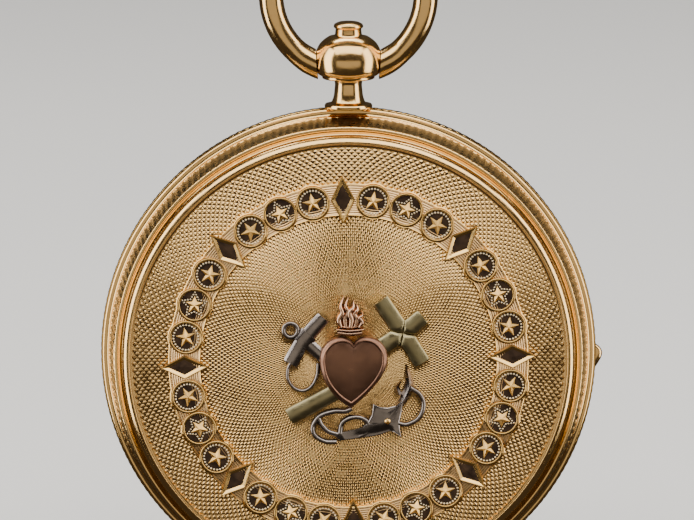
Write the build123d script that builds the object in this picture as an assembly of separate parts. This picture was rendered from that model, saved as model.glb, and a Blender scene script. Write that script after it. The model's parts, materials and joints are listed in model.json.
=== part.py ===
from build123d import *
from math import asin, atan2, cos, degrees, hypot, radians, sin
import os

# A key-wound pocket watch. It is modelled about the centre of its case: X points right as the
# decorated back is seen, Y from the back towards the dial, Z up to the bow. Before export
# everything is lowered so that the origin is the inside top of the bow, where a chain hangs.
# All dimensions are in millimetres.

# Case
CASE_R = 21.0
BORE_R = 16.7
DIAL_BORE_R = 17.3
SNAP_R = 18.3
SNAP_GAP = 0.1
LEDGE_Y = 0.3
BACK_SEAT_Y = -2.35
BACK_WALL_Y = -2.9
FRONT_SEAT_Y = 2.4
FRONT_WALL_Y = 2.9
COVER_GAP = 0.05

# The case's outside, the same towards both faces: a belt, a ridge and a sloping reeded wall
BELT_Y = 0.35
BELT_FOOT_R = 20.72
BELT_FOOT_Y = 0.6
RIDGE_R = 20.25
RIDGE_Y = 1.0
EDGE_R = 19.78
EDGE_Y = 3.3
LIP_R = 19.6
LIP_Y = 3.45
COVE_R = 19.05
COVE_Y = 3.8
BEAD_R = 18.5

# Back cover, inner cover and crystal
DECORATED_R = 18.2
BACK_APEX_Y = -5.1
BACK_EDGE_Y = -4.4
CUVETTE_APEX_Y = -3.9
CUVETTE_R = 17.6
CRYSTAL_R = 17.9
CRYSTAL_TOP_Y = 5.4
KEY_HOLE_R = 1.2

# Cover hinges, whose pins lie along Z on the side away from the thumb piece
HINGE_X = -19.4
HINGE_R = 0.75
HINGE_SWEEP_R = 0.9
HINGE_GAP = 0.03
HINGE_HALF = 5.15
HINGE_PIN_R = 0.22
HINGE_PIN_HALF = 3.3
CUVETTE_HINGE_X = -17.7
CUVETTE_HINGE_Y = -3.2
CUVETTE_HINGE_R = 0.32
CUVETTE_HINGE_HALF = 2.5
CUVETTE_PIN_R = 0.12

# Pendant and bow
PIVOT_Z = 24.8
BALL_R = 2.85
BALL_GAP = 0.1
BOW_CENTRE_Z = 30.5
BOW_R = 6.5
BOW_WIRE_R = 1.05
BOW_PIVOT_R = 0.45
BOW_PIVOT_LENGTH = 2.0
BOW_END_X = 2.2
HANG_Z = BOW_CENTRE_Z + BOW_R - BOW_WIRE_R

# Ring of medallions and lozenges on the back, in eight equal parts
DECOR_R = 13.8
DECOR_PARTS = 8
DECOR_START = 91.94
MEDALLION_STEPS = [10.56, 22.5, 34.44]
MEDALLION_R = 1.4
ENAMEL_R = 1.12
LOZENGE_HALF_LENGTH = 2.05
LOZENGE_HALF_WIDTH = 1.0
DECOR_FOOT_Y = -4.5
DECOR_TOP_Y = -4.95
ENAMEL_TOP_Y = -4.82

# Applied emblem
EMBLEM_FOOT_Y = -4.8
EMBLEM_TOP_Y = -6.0
HEART_CENTRE = (0.45, -0.65)

# Movement. Heights are counted from the main plate's inner face towards the back.
PLATE_R = 17.2
PLATE_THICK = 1.3
CENTRE = (0.0, 0.0)
BARREL = (-3.61, 7.75)
THIRD = (5.318, -0.938)
FOURTH = (5.703, -5.341)
ESCAPE = (2.729, -7.423)
BALANCE = (0.021, -7.90)
MINUTE_POST = (1.2, -2.078)
CLICK = (BARREL[0] - 4.35, BARREL[1] + 2.25)
PIVOT_R = 0.08
JEWEL_R = 0.45
JEWEL_HOLE_R = 0.1
ARBOR_R = 0.25
BRIDGE_LOW = 2.3
BRIDGE_TOP = 3.2
BARREL_BRIDGE_LOW = 1.9
BARREL_BRIDGE_TOP = 2.9
COCK_LOW = 2.95
COCK_TOP = 3.4
ESCAPE_COCK_LOW = 1.5
ESCAPE_COCK_TOP = 2.1
SQUARE_TOP = 3.7
SCREW_HEAD_R = 0.75
SCREW_HEAD_H = 0.35
SCREW_R = 0.35
SCREW_GRIP = 0.8
CENTRE_ARBOR_R = 0.55
SETTING_ARBOR_R = 0.28
WINDING_ARBOR_R = 0.6
FIT = 0.02

# Feet of the bridges and cocks on the main plate
CENTRE_FOOT = (-9.5, -3.2)
THIRD_FOOT = (13.5, 0.5)
FOURTH_FOOT = (13.0, -6.5)
ESCAPE_FOOT = (7.5, -13.0)
BALANCE_FOOT = (-6.5, -13.0)
BARREL_FEET = [(-12.8, 7.95), (7.6, 11.6)]
CASE_SCREW_ANGLES = [20.0, 165.0, 262.0]
CASE_SCREW_CIRCLE_R = 15.9
CASE_SCREW_HEAD_R = 1.05
CASE_SCREW_DEPTH = 1.45

# Wheels: teeth and module, as meshing pairs
BARREL_TEETH, CENTRE_LEAVES, BARREL_MODULE = 80, 10, 0.19
CENTRE_TEETH, THIRD_LEAVES, CENTRE_MODULE = 64, 8, 0.15
THIRD_TEETH, FOURTH_LEAVES, THIRD_MODULE = 60, 8, 0.13
FOURTH_TEETH, ESCAPE_LEAVES, FOURTH_MODULE = 60, 6, 0.11
MINUTE_TEETH, CANNON_LEAVES, MINUTE_MODULE = 36, 12, 0.10
HOUR_TEETH, MINUTE_LEAVES, HOUR_MODULE = 40, 10, 0.096
ESCAPE_TEETH = 15
ESCAPE_R = 2.45
RATCHET_TEETH = 24
RATCHET_R = 3.6
BALANCE_R = 5.2

# Hands, at their stored time
HOUR_ANGLE = 304.5
MINUTE_ANGLE = 54.0
HOUR_LENGTH = 8.0
MINUTE_LENGTH = 13.0
DIAL_R = 17.0


# Marks a run of an outline that is a dome over the axis
DOME = "dome"


# --- Shapes that repeat ---------------------------------------------------------------------


def dome(start, end):
    """An arc from or to the axis of turning, whose centre is on that axis."""
    apex, rim = (start, end) if start[0] == 0 else (end, start)
    rise = apex[1] - rim[1]
    radius = (rim[0] ** 2 + rise ** 2) / (2 * rise)
    half = asin(rim[0] / radius) / 2
    middle = (radius * sin(half), apex[1] - radius + radius * cos(half))
    return ThreePointArc(start, middle, end)


def run(start, point):
    """One run of an outline, to a point that may say how the run is bowed."""
    ends = (start[:2], point[:2])
    if len(point) == 2:
        return Line(*ends)
    return dome(*ends) if point[2] == DOME else SagittaArc(*ends, -point[2])


def outline(points):
    """A closed face. A third value on a point bows the run to it, outwards when anticlockwise."""
    starts = points[-1:] + points[:-1]
    return make_face([run(start, point) for start, point in zip(starts, points)])


def turned(points):
    """A solid turned about the watch's axis from points of radius and Y."""
    return revolve(outline(points), Axis.Y)


def upright(points):
    """A solid turned about the pendant's axis from points of radius and Z."""
    return revolve(Plane.XZ * outline(points), Axis.Z)


def plane_at(height):
    """The plane at a height over the main plate, seen from the back: X right, Z up."""
    return Plane(origin=(0, LEDGE_Y - height, 0), x_dir=(1, 0, 0), z_dir=(0, -1, 0))


def slab(face, low, high):
    """A flat plate with the face's outline between two heights."""
    return extrude(plane_at(low) * face, amount=high - low)


def disc(centre, radius, low, high):
    """A round plate or shaft between two heights."""
    return slab(Pos(*centre) * Circle(radius), low, high)


def ring(centre, outer, inner, low, high):
    """A flat ring or tube between two heights."""
    return slab(Pos(*centre) * (Circle(outer) - Circle(inner)), low, high)


def height_of(y):
    """The height over the main plate of a place given by its Y."""
    return LEDGE_Y - y


def about(centre, radius, angle):
    """The point at a radius and an angle in degrees round a centre."""
    turn = radians(angle)
    return (centre[0] + radius * cos(turn), centre[1] + radius * sin(turn))


def bearing(start, end):
    """The angle in degrees of the line from one centre to another."""
    return degrees(atan2(end[1] - start[1], end[0] - start[0]))


# --- Toothed wheels -------------------------------------------------------------------------


def gear_face(teeth, module, phase):
    """A wheel's outline, with one tooth centred on the angle phase."""
    root = module * (teeth / 2 - 1.25)
    tip = module * (teeth / 2 + 0.8)
    pitch = 360 / teeth
    points = []
    for tooth in range(teeth):
        middle = phase + tooth * pitch
        for radius, share in ((root, -0.27), (tip, -0.1), (tip, 0.1), (root, 0.27)):
            points.append(about((0, 0), radius, middle + share * pitch))
    return make_face(Polyline(*points, close=True))


def meshed(start, end, teeth, phase, leaves):
    """The phase of the gear at end so that it meshes with the gear at start."""
    line = bearing(start, end)
    into = (line - phase) / (360 / teeth)
    return line + 180 + (into - 0.5) * 360 / leaves


def crossed_wheel(centre, face, rim_r, hub_r, bore_r, levels, spokes=5):
    """A toothed wheel with open crossings between its rim and its hub."""
    spoke = Pos((rim_r + hub_r) / 2, 0) * Rectangle(rim_r - hub_r + 0.4, 0.16 * rim_r)
    arms = [Rot(0, 0, 360 * n / spokes) * spoke for n in range(spokes)]
    wheel = face - Circle(rim_r) + Circle(hub_r) + arms - Circle(bore_r)
    return slab(Pos(*centre) * wheel, *levels)


def staff(centre, shaft_r, low, high):
    """An arbor with a fine pivot at each end."""
    lower = disc(centre, PIVOT_R, low - 0.35, low)
    upper = disc(centre, PIVOT_R, high, high + 0.3)
    return disc(centre, shaft_r, low, high) + lower + upper


def spiral_strip(centre, inner_r, outer_r, turns, thick, low, high):
    """A flat coiled spring standing on edge."""
    steps = int(turns * 28)
    edge = []
    for side in (1, -1):
        for n in range(steps + 1)[::side]:
            radius = inner_r + (outer_r - inner_r) * n / steps + side * thick / 2
            edge.append(about((0, 0), radius, 360 * turns * n / steps))
    return slab(Pos(*centre) * make_face(Polyline(*edge, close=True)), low, high)


# --- Hinges of the covers -------------------------------------------------------------------


def rod(x, y, radius, low, high):
    """A round bar along Z."""
    return Pos(x, y, (low + high) / 2) * Cylinder(radius, high - low)


def knuckles(x, y, radius, half, first, gap=0.0):
    """Every other knuckle of a five-knuckle hinge, starting with the first or the second."""
    step = 2 * half / 5
    spans = [(-half + n * step, -half + (n + 1) * step) for n in range(first, 5, 2)]
    return Part() + [rod(x, y, radius, low - gap, high + gap) for low, high in spans]


def hinged_pair(fixed, moving, y, envelope, away):
    """Cuts a flush hinge into the case and a cover. away is the side of Y the cover lies on."""
    half, radius = HINGE_HALF, HINGE_R
    own = knuckles(HINGE_X, y, radius, half, 0) & envelope
    theirs = knuckles(HINGE_X, y, radius, half, 1) & envelope
    room = radius + HINGE_GAP
    beyond = Pos(HINGE_X - 2, y + away * 1.5, 0) * Box(4, 3.2, 2 * half + 0.1)
    swept = rod(HINGE_X, y, HINGE_SWEEP_R, -half - 1, half + 1) & beyond
    fixed -= knuckles(HINGE_X, y, room, half, 1, HINGE_GAP)
    fixed += own
    fixed -= rod(HINGE_X, y, HINGE_PIN_R, -HINGE_PIN_HALF, HINGE_PIN_HALF)
    moving -= swept - rod(HINGE_X, y, radius, -half - 1, half + 1)
    moving -= knuckles(HINGE_X, y, room, half, 0, HINGE_GAP)
    moving += theirs
    moving -= rod(HINGE_X, y, HINGE_PIN_R + FIT, -HINGE_PIN_HALF, HINGE_PIN_HALF)
    return fixed, moving


# --- Case -----------------------------------------------------------------------------------


def wall_r(y):
    """The radius of the reeded wall at a Y."""
    return EDGE_R + (RIDGE_R - EDGE_R) * (EDGE_Y - abs(y)) / (EDGE_Y - RIDGE_Y)


def case_blank():
    """The case's middle ring with its seats, ridges and belt, before the hinges are cut."""
    return turned([
        (BORE_R, BACK_WALL_Y), (SNAP_R, BACK_WALL_Y), (SNAP_R, BACK_SEAT_Y),
        (wall_r(BACK_SEAT_Y), BACK_SEAT_Y), (RIDGE_R, -RIDGE_Y),
        (BELT_FOOT_R, -BELT_FOOT_Y, 0.1), (CASE_R, -BELT_Y, 0.05), (CASE_R, BELT_Y),
        (BELT_FOOT_R, BELT_FOOT_Y, 0.05), (RIDGE_R, RIDGE_Y, 0.1),
        (wall_r(FRONT_SEAT_Y), FRONT_SEAT_Y), (SNAP_R, FRONT_SEAT_Y),
        (SNAP_R, FRONT_WALL_Y), (DIAL_BORE_R, FRONT_WALL_Y), (DIAL_BORE_R, LEDGE_Y),
        (BORE_R, LEDGE_Y)])


def back_blank():
    """The back cover: a low dome, a polished bead, a cove and a reeded edge."""
    inner = SNAP_R + SNAP_GAP
    seat = BACK_SEAT_Y - COVER_GAP
    return turned([
        (0, BACK_APEX_Y), (DECORATED_R, BACK_EDGE_Y, DOME), (BEAD_R, BACK_EDGE_Y),
        (COVE_R, -COVE_Y, 0.16), (LIP_R, -LIP_Y, -0.07), (EDGE_R, -EDGE_Y, 0.03),
        (wall_r(seat), seat), (inner, seat), (inner, -3.5), (17.9, -3.9), (0, -4.65, DOME)])


def bezel_blank():
    """The ring that holds the crystal, with the mirror image of the back's edge."""
    inner = SNAP_R + SNAP_GAP
    seat = FRONT_SEAT_Y + COVER_GAP
    groove = CRYSTAL_R + COVER_GAP
    return turned([
        (inner, seat), (wall_r(seat), seat), (EDGE_R, EDGE_Y), (LIP_R, LIP_Y, 0.03),
        (COVE_R, COVE_Y, -0.07), (BEAD_R, 4.4, 0.16), (17.75, 4.3), (17.75, 4.06),
        (groove, 4.06), (groove, 3.3), (17.4, 3.3), (17.4, 3.0), (inner, 3.0)])


def envelope():
    """The whole outside of the closed case, which the hinge knuckles are flush with."""
    return turned([
        (0, BACK_APEX_Y), (DECORATED_R, BACK_EDGE_Y), (COVE_R, -COVE_Y), (EDGE_R, -EDGE_Y),
        (RIDGE_R, -RIDGE_Y), (BELT_FOOT_R, -BELT_FOOT_Y), (BELT_FOOT_R, BELT_FOOT_Y),
        (RIDGE_R, RIDGE_Y), (EDGE_R, EDGE_Y), (COVE_R, COVE_Y), (0, COVE_Y)])


def cuvette_blank():
    """The inner dust cover, with a hole over each of the two key squares."""
    cover = turned([
        (0, CUVETTE_APEX_Y), (17.0, -3.4, DOME), (CUVETTE_R, -3.3), (CUVETTE_R, -2.92),
        (16.9, -2.92), (16.75, -3.05), (0, -3.55, DOME)])
    for centre in (CENTRE, BARREL):
        cover -= disc(centre, KEY_HOLE_R, 0, 6)
    return cover


def cuvette_hinge(fixed, cover):
    """Cuts the small inner hinge into the case and the inner cover."""
    x, y, half = CUVETTE_HINGE_X, CUVETTE_HINGE_Y, CUVETTE_HINGE_HALF
    room = CUVETTE_HINGE_R + HINGE_GAP
    fixed -= knuckles(x, y, room, half, 1, HINGE_GAP)
    fixed += knuckles(x, y, CUVETTE_HINGE_R, half, 0)
    fixed -= rod(x, y, CUVETTE_PIN_R, -half, half)
    cover -= knuckles(x, y, room, half, 0, HINGE_GAP)
    cover += knuckles(x, y, CUVETTE_HINGE_R, half, 1)
    cover -= rod(x, y, CUVETTE_PIN_R + FIT, -half, half)
    return fixed, cover


def crystal():
    """The domed glass over the dial."""
    return turned([
        (0, 4.6), (17.0, 3.35, DOME), (CRYSTAL_R, 3.32), (CRYSTAL_R, 4.0),
        (17.6, 4.02), (0, CRYSTAL_TOP_Y, DOME)])


def thumb_piece(bezel):
    """The lip that a thumbnail lifts the bezel by: steep above, tapering off below."""
    radii = [(19.7, 1.2), (20.4, 0.9), (21.35, 0.1), (21.64, -2.4), (21.4, -4.2),
             (21.1, -6.6), (20.7, -9.5), (20.2, -12.0), (19.7, -12.0)]
    corners = [about((0, 0), radius, angle) for radius, angle in radii]
    lip = slab(make_face(Polyline(*corners, close=True)), height_of(3.15), height_of(2.5))
    return lip - bezel


# --- Pendant and bow ------------------------------------------------------------------------


def pendant():
    """The neck, its collar and the ball that carries the bow, bored for the bow's pivots."""
    body = upright([
        (0, 19.5), (0.95, 19.5), (0.95, 20.74), (1.9, 20.8), (1.93, 21.24, 0.1), (1.7, 21.3),
        (1.4, 21.45), (1.2, 22.2, -0.03), (1.14, 22.8), (1.2, 23.2), (1.34, 23.34), (2.1, 23.38),
        (2.2, 23.6, 0.06), (2.36, 23.66), (2.75, 24.14, 0.06), (BALL_R, 25.1, 0.03),
        (2.4, 26.35, 0.09), (1.6, 26.95, 0.05), (0, 27.05, DOME)])
    bores = Pos(0, 0, PIVOT_Z) * Rot(0, 90, 0) * Cylinder(BOW_PIVOT_R + 0.03, 7)
    core = Pos(0, 0, PIVOT_Z) * Cylinder(1.6, 2)
    return body - (bores - core)


def pendant_cap(neck):
    """The low button on top of the ball."""
    cap = upright([
        (0, 26.7), (1.3, 26.7), (1.12, 27.25, -0.05), (1.08, 27.6), (1.2, 27.7),
        (1.22, 27.9, 0.04), (1.1, 28.05, 0.03), (0, 28.26, DOME)])
    return cap - neck


def bow():
    """The round bow: a ring whose ends are hollowed to hug the ball, with two pivots."""
    drop = (BOW_R ** 2 - BOW_END_X ** 2) ** 0.5
    end = Vector(BOW_END_X, 0, BOW_CENTRE_Z - drop)
    top = Vector(0, 0, BOW_CENTRE_Z + BOW_R)
    path = ThreePointArc(end, top, Vector(-BOW_END_X, 0, end.Z))
    wire = sweep(Plane(origin=path @ 0, z_dir=path % 0) * Circle(BOW_WIRE_R), path)
    shape = wire - Pos(0, 0, PIVOT_Z) * Sphere(BALL_R + BALL_GAP)
    for side in (1, -1):
        pin = Pos(side * (BALL_R - BALL_GAP), 0, PIVOT_Z) * Rot(0, 90, 0)
        shape += pin * Cylinder(BOW_PIVOT_R, BOW_PIVOT_LENGTH)
    return shape


# --- Ring of medallions on the back ----------------------------------------------------------


def medallion_places():
    """The centres of the medallions, three in each part of the ring."""
    part = 360 / DECOR_PARTS
    return [about(CENTRE, DECOR_R, DECOR_START - n * part - step)
            for n in range(DECOR_PARTS) for step in MEDALLION_STEPS]


def medallion_rims():
    """The raised gold rims of the medallions."""
    low, high = height_of(DECOR_FOOT_Y), height_of(DECOR_TOP_Y)
    return Part() + [
        ring(place, MEDALLION_R, ENAMEL_R, low, high) for place in medallion_places()]


def enamel_discs():
    """The dark enamelled discs inside the rims."""
    low, high = height_of(DECOR_FOOT_Y), height_of(ENAMEL_TOP_Y)
    return Part() + [disc(place, ENAMEL_R, low, high) for place in medallion_places()]


def lozenges():
    """The lozenges that part the groups of medallions, each with its long way outwards."""
    half_long, half_wide = LOZENGE_HALF_LENGTH, LOZENGE_HALF_WIDTH
    corners = [(half_long, 0), (0, half_wide), (-half_long, 0), (0, -half_wide)]
    diamond = Pos(DECOR_R, 0) * make_face(Polyline(*corners, close=True))
    low, high = height_of(DECOR_FOOT_Y), height_of(DECOR_TOP_Y)
    return Part() + [
        slab(Rot(0, 0, DECOR_START - n * 360 / DECOR_PARTS) * diamond, low, high)
        for n in range(DECOR_PARTS)]


# --- Emblem on the back ---------------------------------------------------------------------


def bar(start, end, width):
    """The flat outline of a straight bar between two points."""
    middle = ((start[0] + end[0]) / 2, (start[1] + end[1]) / 2)
    length = hypot(end[0] - start[0], end[1] - start[1])
    return Pos(*middle) * Rot(0, 0, bearing(start, end)) * Rectangle(length, width)


def strap(points, width):
    """A curved flat band of even width through the points."""
    line = Spline(*points)
    return trace(line, width)


def raised(face, top):
    """An applied piece that stands on the back cover up to a Y."""
    return slab(face, height_of(EMBLEM_FOOT_Y), height_of(top))


def heart():
    """The heart's solid, pointing down."""
    x, z = HEART_CENTRE
    side = [(x, z + 2.35), (x + 1.35, z + 3.0), (x + 2.65, z + 1.9), (x + 2.3, z - 0.9)]
    tip = (x, z - 3.2)
    right = Spline(*side, tip, tangents=((0.6, 1), (-1, -0.7)))
    return raised(make_face([right, mirror(right, Plane.YZ.offset(x))]), EMBLEM_TOP_Y)


def flame():
    """The flame over the heart and the little bowl that it burns in."""
    x, z = HEART_CENTRE
    tongue = make_face(Polyline(
        (x - 0.75, z + 3.55), (x - 1.0, z + 4.4), (x - 0.7, z + 5.1), (x - 0.35, z + 6.3),
        (x + 0.3, z + 5.4), (x + 0.9, z + 5.3), (x + 1.1, z + 4.4), (x + 0.8, z + 3.55),
        close=True))
    bowl = Pos(x, z + 3.3) * Rectangle(2.0, 0.65)
    return raised(tongue + bowl, -5.7)


def cross():
    """The cross that leans behind the heart."""
    beam = bar((6.25, 3.94), (-4.93, -4.61), 1.45)
    arms = bar((2.72, 5.26), (6.17, 0.04), 1.5)
    return raised(beam + arms, -5.65)


def anchor():
    """The anchor: ring, stock, shank behind the heart, crown, arms and fluke."""
    shank = bar((-3.5, 1.75), (3.6, -5.0), 0.95)
    stock = bar((-4.87, 0), (-2.12, 3.86), 1.05)
    block = Pos(-3.66, 2.08) * Rot(0, 0, 50) * Rectangle(1.15, 1.25)
    crown = make_face(Polyline(
        (2.06, -3.43), (4.0, -3.6), (4.93, -2.64), (4.3, -5.0), (4.5, -6.38), (3.5, -5.85),
        (2.06, -6.3), (-0.74, -6.68), (-1.21, -6.1), (0.19, -5.85), (1.59, -5.08), close=True))
    upper_arm = strap([(4.1, -3.9), (5.12, -1.9), (4.8, -0.1)], 0.6)
    eye = Pos(-4.85, 2.79) * (Circle(0.82) - Circle(0.38))
    return raised(shank + stock + block + crown + upper_arm + eye, -5.55)


def rope():
    """The rope's loops below the stock, under the heart and beside the crown."""
    loops = [
        [(-4.75, 0.15), (-5.1, -1.2), (-4.2, -2.3), (-2.9, -1.6), (-2.55, 0.0)],
        [(0.3, -3.9), (-1.21, -4.14), (-2.8, -5.0), (-2.84, -6.2), (-1.0, -6.76)],
        [(-0.7, -6.0), (0.1, -4.72), (1.62, -5.1), (1.6, -5.9), (0.9, -6.3)],
        [(5.2, -2.1), (6.33, -3.6), (5.95, -4.7), (4.2, -5.16)]]
    return raised(Sketch() + [strap(points, 0.4) for points in loops], -5.4)


def emblem(cover):
    """The applied pieces, each cut back where one in front of it or the cover lies."""
    pieces = {
        "emblem_heart": heart(), "emblem_flame": flame(), "emblem_cross": cross(),
        "emblem_anchor": anchor(), "emblem_rope": rope()}
    taken = cover
    for name, piece in pieces.items():
        pieces[name] = piece - taken
        taken = taken + piece
    return pieces


# --- Movement: plate, bridges and fasteners --------------------------------------------------


def screw(centre, top, depth, head_r=SCREW_HEAD_R):
    """A slotted screw with its head's face at a height."""
    head = disc(centre, head_r, top - SCREW_HEAD_H, top)
    slot = slab(Pos(*centre) * Rot(0, 0, 35) * Rectangle(2 * head_r + 1, 0.16), top - 0.15, top + 1)
    return head - slot + disc(centre, SCREW_R, top - depth, top - SCREW_HEAD_H)


def foot_tops():
    """Each foot of a bridge or cock with the height of its top."""
    tops = [(CENTRE_FOOT, BRIDGE_TOP), (THIRD_FOOT, BRIDGE_TOP), (FOURTH_FOOT, BRIDGE_TOP),
            (ESCAPE_FOOT, ESCAPE_COCK_TOP), (BALANCE_FOOT, COCK_TOP)]
    return tops + [(foot, BARREL_BRIDGE_TOP) for foot in BARREL_FEET]


def bridge_screws():
    """One screw through each foot."""
    return Part() + [screw(foot, top, top + SCREW_GRIP) for foot, top in foot_tops()]


def screw_space(screws):
    """The screws with their driver slots filled, to cut the holes that they sit in."""
    heads = [disc(foot, SCREW_HEAD_R, top - SCREW_HEAD_H, top + 0.1) for foot, top in foot_tops()]
    return screws + heads


def case_screw_centres():
    """Where the screws that hold the movement in the case stand."""
    return [about(CENTRE, CASE_SCREW_CIRCLE_R, angle) for angle in CASE_SCREW_ANGLES]


def case_screws():
    """The screws whose heads reach over the case's inner flange."""
    return Part() + [
        screw(centre, LEDGE_Y + SCREW_HEAD_H, CASE_SCREW_DEPTH, CASE_SCREW_HEAD_R)
        for centre in case_screw_centres()]


def case_screw_pockets():
    """The shallow pockets in the case's wall for those heads."""
    radius = CASE_SCREW_HEAD_R + SNAP_GAP
    return Part() + [disc(centre, radius, LEDGE_Y, 0.75) for centre in case_screw_centres()]


def jewel_places():
    """Centre, low and high of every jewel."""
    places = [(centre, -0.4, 0.0) for centre in (THIRD, FOURTH, ESCAPE, BALANCE)]
    places += [(centre, BRIDGE_LOW, BRIDGE_LOW + 0.4) for centre in (THIRD, FOURTH)]
    places.append((ESCAPE, ESCAPE_COCK_LOW, ESCAPE_COCK_LOW + 0.35))
    places.append((BALANCE, COCK_LOW, COCK_LOW + 0.35))
    return places


def jewels():
    """The ruby bearings of the train and the balance."""
    return Part() + [
        ring(centre, JEWEL_R, JEWEL_HOLE_R, low, high) for centre, low, high in jewel_places()]


def jewel_holes():
    """The seats of the jewels and the narrower oil sinks beyond them."""
    seats = [disc(centre, JEWEL_R, low, high) for centre, low, high in jewel_places()]
    sinks = [disc(centre, 0.25, low - 0.12, high + 0.6) for centre, low, high in jewel_places()]
    return Part() + seats + sinks


def main_plate(screws, case_holders):
    """The plate that everything in the movement stands on, with the barrel's recess."""
    plate = disc(CENTRE, PLATE_R, -PLATE_THICK, 0)
    plate -= disc(BARREL, 7.3, -1.0, 1)
    plate -= disc(BARREL, WINDING_ARBOR_R + FIT, -2, 1)
    plate -= disc(CENTRE, CENTRE_ARBOR_R + FIT, -2, 1)
    plate += disc(MINUTE_POST, 0.2, height_of(2.28), -PLATE_THICK)
    for foot in dial_feet():
        plate -= foot
    return plate - jewel_holes() - screws - case_holders


def arm(feet, end, end_r, low, high, foot_r=1.55):
    """A bridge or cock: feet on the plate and a flat arm that reaches over a pivot."""
    circles = [Pos(*foot) * Circle(foot_r) for foot in feet]
    circles.append(Pos(*end) * Circle(end_r))
    flat = make_hull([circle.edge() for circle in circles])
    return slab(flat, low, high) + [disc(foot, foot_r, 0, low) for foot in feet]


def barrel_bridge(cuts):
    """The bridge over the mainspring barrel."""
    bridge = arm(BARREL_FEET, BARREL, 4.7, BARREL_BRIDGE_LOW, BARREL_BRIDGE_TOP, 1.2)
    bridge -= disc(BARREL, WINDING_ARBOR_R + FIT, 0, 5)
    stud = disc(CLICK, 0.2, BARREL_BRIDGE_TOP, BARREL_BRIDGE_TOP + 0.3)
    return bridge - cuts + stud


def centre_bridge(cuts):
    """The bridge over the centre wheel."""
    bridge = arm([CENTRE_FOOT], CENTRE, 1.3, BRIDGE_LOW, BRIDGE_TOP)
    return bridge - disc(CENTRE, CENTRE_ARBOR_R + FIT, 0, 5) - cuts


def balance_cock(cuts):
    """The cock over the balance, with the boss that the regulator turns on."""
    cock = arm([BALANCE_FOOT], BALANCE, 1.5, COCK_LOW, COCK_TOP)
    boss = disc(BALANCE, 0.7, COCK_TOP, COCK_TOP + 0.14)
    return cock + boss - disc(BALANCE, 0.25, COCK_LOW, 5) - cuts


def regulator_index():
    """The lever round the balance cock's boss that sets the rate."""
    low, high = COCK_TOP + 0.02, COCK_TOP + 0.12
    collar = ring(BALANCE, 1.25, 0.7 + FIT, low, high)
    line = bearing(BALANCE, BALANCE_FOOT) + 70
    tail = bar(about(BALANCE, 1.1, line), about(BALANCE, 5.2, line), 0.3)
    tip = Pos(*about(BALANCE, 5.2, line)) * Circle(0.35)
    return collar + slab(tail + tip, low, high)


# --- Movement: wheels ------------------------------------------------------------------------


def phases():
    """The tooth phase of each gear, so that every pair is in mesh as stored."""
    phase = {"barrel": 0.0, "centre": 0.0, "third": 0.0, "fourth": 0.0, "cannon": 0.0}
    phase["centre_pinion"] = meshed(BARREL, CENTRE, BARREL_TEETH, 0.0, CENTRE_LEAVES)
    phase["third_pinion"] = meshed(CENTRE, THIRD, CENTRE_TEETH, 0.0, THIRD_LEAVES)
    phase["fourth_pinion"] = meshed(THIRD, FOURTH, THIRD_TEETH, 0.0, FOURTH_LEAVES)
    phase["escape_pinion"] = meshed(FOURTH, ESCAPE, FOURTH_TEETH, 0.0, ESCAPE_LEAVES)
    phase["minute"] = meshed(CENTRE, MINUTE_POST, CANNON_LEAVES, 0.0, MINUTE_TEETH)
    phase["hour"] = meshed(MINUTE_POST, CENTRE, MINUTE_LEAVES, 0.0, HOUR_TEETH)
    return phase


def gear(centre, teeth, module, phase, low, high):
    """A solid toothed disc at a centre."""
    return slab(Pos(*centre) * gear_face(teeth, module, phase), low, high)


def barrel_drum(phase):
    """The toothed drum that holds the mainspring."""
    drum = disc(BARREL, 7.1, -0.95, 1.2)
    drum += gear(BARREL, BARREL_TEETH, BARREL_MODULE, phase["barrel"], 0.2, 0.7)
    drum -= disc(BARREL, 6.6, -0.75, 1.0)
    drum -= disc(BARREL, 6.9, 1.0, 1.3)
    return drum - disc(BARREL, WINDING_ARBOR_R + FIT, -2, 0)


def barrel_cover():
    """The drum's lid."""
    return ring(BARREL, 6.9, WINDING_ARBOR_R + FIT, 1.0, 1.2)


def barrel_arbor():
    """The arbor that winds the mainspring, with the square that the key fits."""
    shaft = disc(BARREL, WINDING_ARBOR_R, -1.25, BARREL_BRIDGE_TOP + 0.3)
    core = disc(BARREL, 1.6, -0.7, 0.95)
    square = Pos(*BARREL) * Rectangle(0.95, 0.95)
    return shaft + core + slab(square, BARREL_BRIDGE_TOP + 0.3, SQUARE_TOP)


def ratchet_wheel():
    """The saw-toothed wheel that the click holds."""
    points = []
    pitch = 360 / RATCHET_TEETH
    for tooth in range(RATCHET_TEETH):
        points.append(about((0, 0), RATCHET_R, tooth * pitch))
        points.append(about((0, 0), RATCHET_R - 0.42, tooth * pitch + 0.15 * pitch))
    face = make_face(Polyline(*points, close=True)) - Circle(WINDING_ARBOR_R)
    return slab(Pos(*BARREL) * face, BARREL_BRIDGE_TOP + 0.03, BARREL_BRIDGE_TOP + 0.28)


def click():
    """The pawl, stored just lifted out of the ratchet's teeth."""
    line = bearing(BARREL, CLICK)
    beak = about(BARREL, RATCHET_R + 0.08, line - 33)
    heel = about(BARREL, RATCHET_R + 0.55, line - 30)
    lever = make_face(Polyline(
        about(CLICK, 0.5, line - 90), beak, heel, about(CLICK, 0.55, line), close=True))
    body = lever + Pos(*CLICK) * Circle(0.6) - Pos(*CLICK) * Circle(0.2 + FIT)
    return slab(body, BARREL_BRIDGE_TOP + 0.03, BARREL_BRIDGE_TOP + 0.25)


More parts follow.
